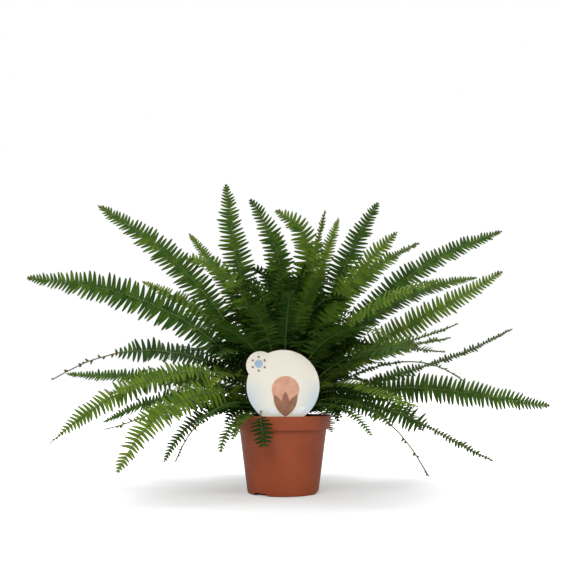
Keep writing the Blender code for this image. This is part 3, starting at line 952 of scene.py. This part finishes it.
class FERN_OT_young_fronds(bpy.types.Operator):
    """Fill the middle of the plant with short arching fronds"""

    bl_idname = "fern.young_fronds"
    bl_label = "Young fronds"

    def execute(self, context):
        leaf = context.scene.fern_leaf
        young = context.scene.fern_young
        tree = bpy.data.node_groups.get("Frond")
        if tree is None:
            self.report({"ERROR"}, "grow the fronds first")
            return {"CANCELLED"}
        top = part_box("crown")[1][2]
        rng = random.Random(leaf.seed)
        for index in range(young.count):
            angle = index * GOLDEN_ANGLE + rng.uniform(-0.2, 0.2)
            share = (index + 0.5) / young.count
            out = np.array([math.cos(angle), math.sin(angle), 0.0])
            foot_out, foot_down = (
                first + more * share for first, more in (YOUNG_FOOT_OUT, YOUNG_FOOT_DOWN)
            )
            start = out * foot_out + UP * (top - foot_down)
            reach = (young.reach + YOUNG_LEAN * out[0]) * (0.3 + 0.7 * share) * rng.uniform(0.8, 1.1)
            height = young.high + (young.low - young.high) * share * rng.uniform(0.8, 1.1)
            if out[1] < YOUNG_FRONT_FROM:
                reach *= YOUNG_FRONT_SHARE
                height = max(height, young.front)
            tip = out * reach
            tip[2] = height
            rise = out * reach * 0.15
            rise[2] = (height - start[2]) * 1.05 + 0.02
            middles = arching_line(start, rise, tip)
            side = np.array([out[1], -out[0], 0.0])
            roll = rng.uniform(-YOUNG_ROLL, YOUNG_ROLL)
            sides = []
            for tangent in unit(np.gradient(middles, axis=0)):
                level = unit(side - tangent * (side @ tangent))
                face = np.cross(level, tangent)
                sides.append(level * math.cos(roll) - face * math.sin(roll))
            shares = np.linspace(0.0, 1.0, len(middles))
            widths = 0.5 * young.width * np.clip((shares - 0.2) * 6.0, 0.0, 1.0) * rng.uniform(0.75, 1.1)
            if any(meets_card(a, b) for a, b in zip(middles, middles[1:])):
                continue
            rachis = Rachis(middles, np.array(sides), widths)
            # these fronds fill the plant's middle, and their tones, darker than a plain frond's, are painted
            # shade there
            piece = build_frond(
                f"young_frond_{index + 1:02d}", rachis, tree, leaf, rng, rng.uniform(0.05, 0.42)
            )
            finish_piece(piece, "frond_leaf")
        self.grow_rim_fronds(tree, leaf, young, rng)
        return {"FINISHED"}

    def grow_rim_fronds(self, tree, leaf, young, rng):
        """Short fronds that lie over the rim, all round, and one that hangs down in front."""
        low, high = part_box("pot")
        rim = (high[0] - low[0]) / 2.0
        top = high[2]
        lines = [bezier_line([(x, y, top + z) for x, y, z in RIM_FROND_LINE])]
        for index in range(young.rim_count):
            angle = math.tau * (index + 0.5) / young.rim_count + rng.uniform(-0.15, 0.15)
            out = np.array([math.cos(angle), math.sin(angle), 0.0])
            if out[1] < RIM_FRONT_FROM:
                continue
            tip = out * rim * rng.uniform(*RIM_FROND_REACH) + UP * (top + rng.uniform(*RIM_FROND_TIP))
            start = out * RIM_FROND_FOOT[0] + UP * (top + RIM_FROND_FOOT[1])
            rise = out * rim * 0.5 + UP * (top + rng.uniform(0.008, 0.026))
            over = out * rim * 1.1 + UP * (top + rng.uniform(0.006, 0.036))
            lines.append(bezier_line((start, rise, over, tip)))
        for index, middles in enumerate(lines):
            if index and any(meets_card(a, b) for a, b in zip(middles, middles[1:])):
                continue
            tangents = unit(np.gradient(middles, axis=0))
            across = middles[-1] * (1.0, 1.0, 0.0)
            side = unit(np.array([across[1], -across[0], 0.0]))
            sides = unit(side - tangents * (tangents @ side)[:, None])
            widths = 0.5 * young.rim_width * np.ones(len(middles)) * rng.uniform(0.8, 1.1)
            widths[0] = 0.0
            rachis = Rachis(middles, sides, widths)
            rachis.turn_to_front(RIM_FRONTAL_SHARE)
            if index == 0:
                rachis.blade_start = rachis.total * RIM_FROND_BARE_SHARE
            piece = build_frond(f"rim_frond_{index:02d}", rachis, tree, leaf, rng, rng.uniform(0.1, 0.5))
            finish_piece(piece, "frond_leaf")


# ---------------------------------------------------------------- pot, soil and crown


MERGE = 0.01 * MM


def turned(name, profile, sides):
    """Surface turned about the Z axis from (radius, height) pairs."""
    mesh = bpy.data.meshes.new(name)
    steps = [(i, i + 1) for i in range(len(profile) - 1)]
    mesh.from_pydata([(r, 0.0, z) for r, z in profile], steps, [])
    obj = link_object(name, mesh)
    screw = obj.modifiers.new("turn", "SCREW")
    screw.steps = sides
    screw.render_steps = sides
    screw.use_merge_vertices = True
    screw.merge_threshold = MERGE
    return obj


def rounded(profile, index, radius, count=4):
    """The profile with one corner replaced by a short arc."""
    corner = Vector(profile[index])
    before = (Vector(profile[index - 1]) - corner).normalized() * radius
    after = (Vector(profile[index + 1]) - corner).normalized() * radius
    arc = []
    for i in range(count + 1):
        t = i / count
        arc.append(tuple(corner + before * (1.0 - t) ** 2 + after * t * t))
    return profile[:index] + arc + profile[index + 1:]


FLOOR_THICKNESS = 2.0 * MM
# how far the rim band's lower edge is drawn in, and how much thicker its foot is
RIM_DRAFT = 1.2 * MM
RIM_FOOT = 0.6 * MM
BASE_FLARE = 0.2 * MM
# rounding of the outline's corners, from the last to the first
CORNERS = ((8, 2.4 * MM), (7, 0.5 * MM), (6, 0.8 * MM), (5, 0.6 * MM), (4, 0.6 * MM))
SLOT_DEPTH = 18.0 * MM
SLOT_CORNER = 2.2 * MM


class FERN_OT_pot(bpy.types.Operator):
    """Turn the nursery pot and cut its drain slots"""

    bl_idname = "fern.pot"
    bl_label = "Pot"

    def execute(self, context):
        pot = context.scene.fern_pot
        low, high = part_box("pot")
        radius = (high[0] - low[0]) / 2.0
        top = high[2]
        band = top - pot.rim_band
        wall = pot.wall
        profile = [
            (0.0, FLOOR_THICKNESS),
            (pot.base_radius - wall, FLOOR_THICKNESS),
            (pot.body_top_radius - wall, band - 0.002),
            (radius - wall - RIM_FOOT, band + 0.002),
            (radius - wall, top),
            (radius, top),
            (radius - RIM_DRAFT, band),
            (pot.body_top_radius, band),
            (pot.base_radius + BASE_FLARE, 0.0),
            (0.0, 0.0),
        ]
        for index, size in CORNERS:
            profile = rounded(profile, index, size)
        obj = turned("pot_body_turned", profile, pot.sides)
        cutters = []
        for index in range(pot.drain_slots):
            angle = pot.first_slot + index * math.tau / pot.drain_slots
            mesh = bpy.data.meshes.new("slot_cutter")
            bm = bmesh.new()
            bmesh.ops.create_cube(bm, size=1.0)
            upper = []
            for edge in bm.edges:
                first, second = (vertex.co for vertex in edge.verts)
                if first.z > 0.0 and second.z > 0.0 and first.y == second.y:
                    upper.append(edge)
            size = (SLOT_DEPTH, pot.drain_width, 2.0 * pot.drain_height)
            bmesh.ops.scale(bm, vec=size, verts=bm.verts)
            bmesh.ops.bevel(bm, geom=upper, offset=SLOT_CORNER, segments=4, profile=0.5, affect="EDGES")
            bm.to_mesh(mesh)
            bm.free()
            cutter = link_object("slot_cutter", mesh)
            cutter.location = Vector((math.cos(angle), math.sin(angle), 0.0)) * pot.base_radius
            cutter.rotation_euler = (0.0, 0.0, angle)
            cutters.append(cutter)
            boolean = obj.modifiers.new("slot", "BOOLEAN")
            boolean.operation = "DIFFERENCE"
            boolean.solver = "EXACT"
            boolean.object = cutter
        piece = baked(obj, "pot_body")
        for cutter in cutters:
            bpy.data.objects.remove(cutter, do_unlink=True)
        piece.data.materials.clear()
        piece.data.materials.append(pot_material())
        shade_by_angle(piece.data, 35.0)
        finish_piece(piece, "pot_plastic", "pot")
        return {"FINISHED"}


def shade_by_angle(mesh, degrees):
    """Smooth faces, with sharp edges where two faces meet at more than this angle."""
    bm = bmesh.new()
    bm.from_mesh(mesh)
    limit = math.radians(degrees)
    for face in bm.faces:
        face.smooth = True
    for edge in bm.edges:
        edge.smooth = len(edge.link_faces) == 2 and edge.calc_face_angle(0.0) < limit
    bm.to_mesh(mesh)
    bm.free()


def crumb_collection(name, seed, count):
    """Small irregular grains of about unit size."""
    collection = bpy.data.collections.new(name)
    rng = random.Random(seed)
    for index in range(count):
        bm = bmesh.new()
        bmesh.ops.create_icosphere(bm, subdivisions=1, radius=0.5)
        for vertex in bm.verts:
            vertex.co *= rng.uniform(0.7, 1.2)
        bmesh.ops.scale(bm, vec=(1.0, rng.uniform(0.5, 0.9), rng.uniform(0.35, 0.7)), verts=bm.verts)
        mesh = bpy.data.meshes.new(f"{name}_{index}")
        bm.to_mesh(mesh)
        bm.free()
        collection.objects.link(bpy.data.objects.new(f"{name}_{index}", mesh))
    return collection


def scatter_tree(name, grains, material):
    """Grains scattered over the input's upward faces."""
    tree, entry, finish = new_tree(name, [
        ("Density", "NodeSocketFloat", 1000.0),
        ("Least Size", "NodeSocketFloat", 0.001),
        ("Most Size", "NodeSocketFloat", 0.003),
        ("Seed", "NodeSocketInt", 1),
    ])
    surface, density, least, most, seed = (socket for socket in entry.outputs if socket.name)
    normal = made(tree, "GeometryNodeInputNormal")
    parts = feed(tree, add_node(tree, "ShaderNodeSeparateXYZ"), Vector=normal)
    upward = made(
        tree, "FunctionNodeCompare", {"data_type": "FLOAT", "operation": "GREATER_THAN"},
        A=parts.outputs["Z"], B=0.5,
    )
    spread = feed(
        tree, add_node(tree, "GeometryNodeDistributePointsOnFaces"),
        Mesh=surface, Selection=upward, Density=density, Seed=seed,
    )
    spin = made(
        tree, "FunctionNodeRandomValue", {"data_type": "FLOAT_VECTOR"},
        Min=(0.0, 0.0, 0.0), Max=(math.tau, math.tau, math.tau), Seed=seed,
    )
    size = made(tree, "FunctionNodeRandomValue", {"data_type": "FLOAT"}, Min=least, Max=most, Seed=seed)
    placed = made(
        tree, "GeometryNodeInstanceOnPoints",
        Points=spread.outputs["Points"], Instance=shapes_of(tree, grains), Pick_Instance=True,
        Rotation=made(tree, "FunctionNodeEulerToRotation", Euler=spin), Scale=size,
    )
    tree.links.new(realised(tree, placed, material), finish.inputs["Geometry"])
    return tree


def scatter(surface, name, tree, density, least, most, seed):
    """A separate plain mesh of grains over a surface object."""
    source = link_object(name + "_source", surface.data.copy())
    modifier = source.modifiers.new("scatter", "NODES")
    modifier.node_group = tree
    set_inputs(modifier, {"Density": density, "Least Size": least, "Most Size": most, "Seed": seed})
    return baked(source, name)


SOIL_ROWS = 18
SOIL_SIDES = 72
# flat middle that the crown stands on, and the fall of the soil from there to the wall
CROWN_SEAT = 27.0 * MM
CROWN_GAP = 0.8 * MM
SOIL_FALL = 3.0 * MM
RIPPLE = 0.12 * MM
RIPPLE_FROM = 20.0 * MM
RIPPLE_WAVES = 12
RIPPLE_PER_METRE = (40, 160)
SOIL_SEED = 3
# radius and height from the box, of the soil's two lower rings
SOIL_RINGS = ((52.0 * MM, -12.0 * MM), (41.5 * MM, 6.0 * MM))
# grains on each square metre, least and most size, seed
CRUMBS = (160000.0, 0.9 * MM, 3.0 * MM, 4)
PERLITE = (3500.0, 1.0 * MM, 2.2 * MM, 8)


class FERN_OT_soil(bpy.types.Operator):
    """Fill the pot with uneven soil, crumbs and a little perlite"""

    bl_idname = "fern.soil"
    bl_label = "Soil"

    def execute(self, context):
        low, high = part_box("potting_soil")
        radius = (high[0] - low[0]) / 2.0
        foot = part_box("crown")[0][2]
        profile = [(radius * i / SOIL_ROWS, 0.0) for i in range(SOIL_ROWS + 1)]
        rng = random.Random(SOIL_SEED)
        waves = []
        for _ in range(RIPPLE_WAVES):
            pace = rng.uniform(*RIPPLE_PER_METRE)
            waves.append((pace, rng.uniform(0, math.tau), rng.uniform(0, math.tau)))

        def height(x, y):
            r = math.hypot(x, y)
            slope = min(1.0, max(0.0, (r - CROWN_SEAT) / (radius - CROWN_SEAT)))
            ripple = sum(math.sin(w * (x * math.cos(a) + y * math.sin(a)) + p) for w, a, p in waves)
            return foot - CROWN_GAP - SOIL_FALL * slope + RIPPLE * ripple * (r > RIPPLE_FROM)

        obj = turned("soil_turned", profile, SOIL_SIDES)
        piece = baked(obj, "soil_body")
        bm = bmesh.new()
        bm.from_mesh(piece.data)
        bmesh.ops.recalc_face_normals(bm, faces=bm.faces)
        if sum(face.normal.z for face in bm.faces) < 0.0:
            bmesh.ops.reverse_faces(bm, faces=bm.faces)
        for vertex in bm.verts:
            vertex.co.z = height(vertex.co.x, vertex.co.y)
        rim = [edge for edge in bm.edges if edge.is_boundary]
        for (ring, lift), edge_height in zip(SOIL_RINGS, (high[2], low[2])):
            wall = bmesh.ops.extrude_edge_only(bm, edges=rim)["geom"]
            for vertex in (g for g in wall if isinstance(g, bmesh.types.BMVert)):
                angle = math.atan2(vertex.co.y, vertex.co.x)
                vertex.co = (ring * math.cos(angle), ring * math.sin(angle), edge_height + lift)
            rim = [g for g in wall if isinstance(g, bmesh.types.BMEdge) and g.is_boundary]
        bmesh.ops.contextual_create(bm, geom=rim)
        bmesh.ops.recalc_face_normals(bm, faces=bm.faces)
        bm.to_mesh(piece.data)
        bm.free()
        piece.data.materials.clear()
        soil = soil_material()
        piece.data.materials.append(soil)
        crumbs = scatter_tree("Soil crumbs", crumb_collection("crumb", 5, 5), soil)
        grains = scatter_tree("Perlite", crumb_collection("grain", 9, 3), perlite_material())
        loose = scatter(piece, "soil_crumbs", crumbs, *CRUMBS)
        white = scatter(piece, "perlite_grains", grains, *PERLITE)
        shade_by_angle(piece.data, 60.0)
        finish_piece(piece, "potting_soil", "potting_soil")
        finish_piece(loose, "potting_soil")
        finish_piece(white, "potting_soil")
        return {"FINISHED"}


CROWN_SEED = 12
KNOBS = 26
KNOB_WIDTH = 0.22
KNOB_HEIGHT = 1.6 * MM
# room for the scales that stand on the crown
SCALE_ROOM = 0.8 * MM
# scales on each square metre, least and most size, seed
SCALES = (90000.0, 1.0 * MM, 2.6 * MM, 6)


class FERN_OT_crown(bpy.types.Operator):
    """Shape the scaly root crown"""

    bl_idname = "fern.crown"
    bl_label = "Crown"

    def execute(self, context):
        low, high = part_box("crown")
        radius = (high[0] - low[0]) / 2.0 - SCALE_ROOM
        mesh = bpy.data.meshes.new("crown_mound")
        bm = bmesh.new()
        bmesh.ops.create_uvsphere(bm, u_segments=48, v_segments=24, radius=radius)
        rng = random.Random(CROWN_SEED)
        knobs = []
        for _ in range(KNOBS):
            knob = Vector((rng.gauss(0, 1), rng.gauss(0, 1), abs(rng.gauss(0, 1)))).normalized()
            knobs.append((knob, rng.uniform(0.0, KNOB_HEIGHT)))
        for vertex in bm.verts:
            way = vertex.co.normalized()
            bulge = sum(
                size * math.exp(-((way - knob).length / KNOB_WIDTH) ** 2) for knob, size in knobs
            )
            vertex.co = way * (radius - KNOB_HEIGHT + min(bulge, KNOB_HEIGHT))
            if vertex.co.z < 0.0:
                vertex.co.z = 0.0
        bmesh.ops.dissolve_degenerate(bm, dist=MERGE / 10.0, edges=bm.edges)
        bmesh.ops.translate(bm, vec=(0.0, 0.0, low[2]), verts=bm.verts)
        bm.to_mesh(mesh)
        bm.free()
        piece = link_object("crown_mound", mesh)
        bark = bark_material()
        mesh.materials.append(bark)
        scales = scatter_tree("Crown scales", crumb_collection("scale", 21, 4), bark)
        fuzz = scatter(piece, "crown_scales", scales, *SCALES)
        shade_by_angle(mesh, 50.0)
        finish_piece(piece, "crown_tissue", "crown")
        finish_piece(fuzz, "crown_tissue")
        return {"FINISHED"}


# ---------------------------------------------------------------- label


def arc(centre, radius, start, end, count):
    """Points on an arc between two angles in degrees."""
    points = []
    for i in range(count):
        angle = math.radians(start + (end - start) * i / (count - 1))
        points.append((centre[0] + radius * math.cos(angle), centre[1] + radius * math.sin(angle)))
    return points


def plate(name, outline, depth, material, front):
    """Closed flat plate from an outline in the XZ plane, with its face at Y = front."""
    curve = bpy.data.curves.new(name, "CURVE")
    curve.dimensions = "2D"
    curve.fill_mode = "BOTH"
    curve.extrude = depth / 2.0
    spline = curve.splines.new("POLY")
    spline.points.add(len(outline) - 1)
    for point, (x, y) in zip(spline.points, outline):
        point.co = (x, y, 0.0, 1.0)
    spline.use_cyclic_u = True
    source = link_object(name + "_outline", curve)
    bpy.context.view_layer.update()
    mesh = bpy.data.meshes.new_from_object(source.evaluated_get(bpy.context.evaluated_depsgraph_get()))
    bpy.data.objects.remove(source, do_unlink=True)
    bm = bmesh.new()
    bm.from_mesh(mesh)
    bmesh.ops.remove_doubles(bm, verts=bm.verts, dist=MERGE / 2.0)
    upright = Matrix.Rotation(math.radians(90.0), 3, "X")
    bmesh.ops.rotate(bm, cent=(0.0, 0.0, 0.0), matrix=upright, verts=bm.verts)
    bmesh.ops.translate(bm, vec=(0.0, front + depth / 2.0, 0.0), verts=bm.verts)
    bmesh.ops.recalc_face_normals(bm, faces=bm.faces)
    bm.to_mesh(mesh)
    bm.free()
    mesh.materials.clear()
    mesh.materials.append(material)
    return link_object(name, mesh)


def leaf_outline(foot, length, width, angle, count=10):
    """Pointed oval leaf from its foot."""
    points = []
    along = Vector((math.cos(math.radians(angle)), math.sin(math.radians(angle))))
    across = Vector((-along.y, along.x))
    for side in (1.0, -1.0):
        for i in range(count):
            t = i / count if side > 0 else 1.0 - i / count
            spread = width * math.sin(math.pi * t) ** 0.8 * side if 0.0 < t < 1.0 else 0.0
            points.append(tuple(Vector(foot) + along * (length * t) + across * spread))
    return points


def disc(centre, radius, count):
    """Points on a whole circle."""
    x, y = centre
    turns = [math.tau * i / count for i in range(count)]
    return [(x + radius * math.cos(turn), y + radius * math.sin(turn)) for turn in turns]


# centres from the card's middle, across and up
LOBE_CENTRE = (-0.027, 0.025)
SUN_CENTRE = (0.003, -0.004)
SUN_RADIUS = 16.5 * MM
SPRIG_FOOT = (0.003, -0.036)
DOT_CENTRE = (-0.029, 0.027)
DOT_RADIUS = 4.8 * MM
BEAD_RING = 8.2 * MM
BEAD_RADIUS = 1.3 * MM
PRINT_DEPTH = 0.05 * MM
PRINT_GAP = 0.01 * MM
INKS = {
    "peach": ((0.70, 0.38, 0.26), (0.60, 0.29, 0.18)),
    "brown": ((0.33, 0.15, 0.08), (0.24, 0.10, 0.055)),
    "white": ((0.86, 0.86, 0.86), (0.80, 0.83, 0.86)),
    "blue": ((0.36, 0.52, 0.64), (0.28, 0.44, 0.58)),
}


def print_shapes():
    """Name, outline and ink of each printed shape, from the lowest layer to the highest."""
    shapes = [("sun", disc(SUN_CENTRE, SUN_RADIUS, 56), "peach")]
    for index, angle in enumerate((62, 90, 118)):
        shapes.append((f"petal_{index}", leaf_outline(SPRIG_FOOT, 0.030, 0.0048, angle), "brown"))
    for index, (x, angle) in enumerate(((-0.006, 150), (0.012, 30))):
        shapes.append((f"low_leaf_{index}", leaf_outline((x, -0.033), 0.017, 0.0038, angle), "white"))
    shapes.append(("lobe_dot", disc(DOT_CENTRE, DOT_RADIUS, 32), "blue"))
    for index, angle in enumerate(range(90, 450, 60)):
        way = Vector((math.cos(math.radians(angle)), math.sin(math.radians(angle))))
        bead = disc(Vector(DOT_CENTRE) + way * BEAD_RING, BEAD_RADIUS, 16)
        shapes.append((f"lobe_bead_{index}", bead, "brown"))
    return shapes


class FERN_OT_label(bpy.types.Operator):
    """Cut the plant label and print a plain sprig on it"""

    bl_idname = "fern.label"
    bl_label = "Plant label"

    def execute(self, context):
        label = context.scene.fern_label
        low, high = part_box("plant_label")
        radius = label.radius
        middle = (low[1] + high[1]) / 2.0
        front = middle - label.thickness / 2.0
        lobe = Vector(LOBE_CENTRE)
        lobe_top = lobe.y + label.lobe_radius
        centre_z = high[2] - max(radius, lobe_top)
        distance = lobe.length
        toward = math.degrees(math.atan2(lobe.y, lobe.x))
        along = (distance**2 + radius**2 - label.lobe_radius**2) / (2.0 * distance)
        on_card = math.degrees(math.acos(along / radius))
        on_lobe = math.degrees(math.acos((distance - along) / label.lobe_radius))
        stake = label.stake
        tip = low[2] - centre_z
        foot = math.degrees(math.acos(stake * 1.4 / radius))
        outline = arc((0.0, 0.0), radius, -foot, toward - on_card, 64)
        outline += arc(lobe, label.lobe_radius, toward - 180.0 + on_lobe, toward + 180.0 - on_lobe, 40)[1:-1]
        outline += arc((0.0, 0.0), radius, toward + on_card, 180.0 + foot, 40)
        shoulder = -radius - 0.0045
        left = [(-stake, shoulder), (-stake, tip + 0.012), (-0.003, tip)]
        outline += left + [(-x, y) for x, y in reversed(left)]
        raised = [(x, y + centre_z) for x, y in outline]
        card = plate("label_card", raised, label.thickness, card_material(), front)
        shade_by_angle(card.data, 40.0)
        finish_piece(card, "label_card", "plant_label")
        inks = {name: ink_material("print_" + name, *tones) for name, tones in INKS.items()}
        for level, (name, shape, ink) in enumerate(print_shapes()):
            at = front - (PRINT_DEPTH + PRINT_GAP) * (1 + level)
            raised = [(x, y + centre_z) for x, y in shape]
            piece = plate("print_" + name, raised, PRINT_DEPTH, inks[ink], at)
            finish_piece(piece, "label_card")
        return {"FINISHED"}


# ---------------------------------------------------------------- stage


# name, place, the point it faces, side and power of each square lamp
LAMPS = (
    ("key", (-0.4, -1.8, 1.5), (0.0, 0.0, 0.12), 1.2, 24.0),
    ("fill", (1.3, -1.5, 0.8), (0.0, 0.0, 0.15), 1.2, 4.0),
    ("top", (0.0, 0.45, 1.8), (0.0, 0.0, 0.1), 1.4, 26.0),
)
WORLD_LEVEL = 0.65
FLOOR_GREYS = [(0.3, (0.54, 0.54, 0.54)), (0.7, (0.56, 0.56, 0.56))]
# the floor's own light to the camera, and from where and how fast it grows outwards; the lower glow near the
# pot is painted shade round the pot
FLOOR_GLOW = 0.32
PAINTED_SHADE_RADIUS = 0.16
PAINTED_SHADE_FADE = 1.2
FLOOR_SIZE = 30.0
FLOOR_GAP = 0.2 * MM
CAMERA_SHIFT = -0.0027


def area_light(name, place, aim, size, power):
    data = bpy.data.lights.new(name, "AREA")
    data.shape = "SQUARE"
    data.size = size
    data.energy = power
    light = link_object(name, data)
    light.location = place
    light.rotation_euler = (Vector(aim) - Vector(place)).to_track_quat("-Z", "Y").to_euler()


def floor_material():
    """Pale floor that reads white to the camera and keeps a soft shadow, with painted shade round the pot
    where its glow to the camera is lower.
    """
    material, tree, shader = new_material("studio_floor")
    where = object_coordinates(tree)
    tint = ramp(tree, noise(tree, where, 2.0), FLOOR_GREYS)
    tree.links.new(tint, shader.inputs["Base Color"])
    shader.inputs["Roughness"].default_value = 0.9
    shader.inputs["Specular IOR Level"].default_value = 0.1
    path = add_node(tree, "ShaderNodeLightPath")
    away = add_node(tree, "ShaderNodeVectorMath", operation="LENGTH")
    tree.links.new(where, away.inputs[0])
    # the glow to the camera is lower near the pot and grows outwards, which is painted shade round the pot
    past_painted_shade = maths(tree, "SUBTRACT", away.outputs["Value"], PAINTED_SHADE_RADIUS)
    far = maths(tree, "MULTIPLY", past_painted_shade, PAINTED_SHADE_FADE, clamp=True)
    glow = maths(tree, "MULTIPLY", path.outputs["Is Camera Ray"], maths(tree, "ADD", FLOOR_GLOW, far))
    shader.inputs["Emission Color"].default_value = (1.0, 1.0, 1.0, 1.0)
    tree.links.new(glow, shader.inputs["Emission Strength"])
    return material


class FERN_OT_stage(bpy.types.Operator):
    """Set up the floor, the lights and the camera"""

    bl_idname = "fern.stage"
    bl_label = "Stage"

    def execute(self, context):
        settings = context.scene.fern_stage
        mesh = bpy.data.meshes.new("studio_floor")
        bm = bmesh.new()
        bmesh.ops.create_grid(bm, x_segments=1, y_segments=1, size=FLOOR_SIZE)
        bm.to_mesh(mesh)
        bm.free()
        mesh.materials.append(floor_material())
        floor = link_object("studio_floor", mesh)
        floor.location.z = -FLOOR_GAP
        world = bpy.data.worlds.new("studio")
        world.use_nodes = True
        tree = world.node_tree
        background = tree.nodes["Background"]
        path = add_node(tree, "ShaderNodeLightPath")
        seen = maths(tree, "MULTIPLY", path.outputs["Is Camera Ray"], 1.0 - WORLD_LEVEL)
        strength = maths(tree, "ADD", WORLD_LEVEL, seen)
        tree.links.new(strength, background.inputs["Strength"])
        background.inputs["Color"].default_value = (1.0, 1.0, 1.0, 1.0)
        context.scene.world = world
        context.scene.view_settings.view_transform = "Standard"
        for lamp in LAMPS:
            area_light(*lamp)
        data = bpy.data.cameras.new("camera")
        data.lens = settings.lens
        data.sensor_width = 36.0
        data.shift_x = CAMERA_SHIFT
        data.shift_y = settings.shift_up
        camera = link_object("camera", data)
        camera.location = (0.0, -settings.distance, settings.height)
        camera.rotation_euler = (math.radians(90.0), 0.0, 0.0)
        bpy.context.scene.camera = camera
        return {"FINISHED"}


class FERN_PT_panel(bpy.types.Panel):
    """Buttons for each step of the fern"""

    bl_label = "Potted fern"
    bl_idname = "FERN_PT_panel"
    bl_space_type = "VIEW_3D"
    bl_region_type = "UI"
    bl_category = "Potted fern"

    def draw(self, context):
        layout = self.layout
        for operator in OPERATORS:
            layout.operator(operator.bl_idname)
        for name in SETTINGS:
            box = layout.box()
            group = getattr(context.scene, name)
            for key in group.__annotations__:
                box.prop(group, key)


SETTINGS = {
    "fern_leaf": FernLeafSettings,
    "fern_young": FernYoungSettings,
    "fern_pot": FernPotSettings,
    "fern_label": FernLabelSettings,
    "fern_stage": FernStageSettings,
}
OPERATORS = (
    FERN_OT_fronds,
    FERN_OT_young_fronds,
    FERN_OT_pot,
    FERN_OT_soil,
    FERN_OT_crown,
    FERN_OT_label,
    FERN_OT_stage,
)


def register():
    for cls in (*SETTINGS.values(), *OPERATORS, FERN_PT_panel):
        bpy.utils.register_class(cls)
    for name, cls in SETTINGS.items():
        setattr(bpy.types.Scene, name, PointerProperty(type=cls))


def unregister():
    for name in SETTINGS:
        delattr(bpy.types.Scene, name)
    for cls in (FERN_PT_panel, *reversed(OPERATORS), *reversed(SETTINGS.values())):
        bpy.utils.unregister_class(cls)


def main():
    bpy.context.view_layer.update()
    register()
    bpy.ops.fern.fronds()
    bpy.ops.fern.young_fronds()
    bpy.ops.fern.pot()
    bpy.ops.fern.soil()
    bpy.ops.fern.crown()
    bpy.ops.fern.label()
    bpy.ops.fern.stage()


if __name__ == "__main__":
    main()
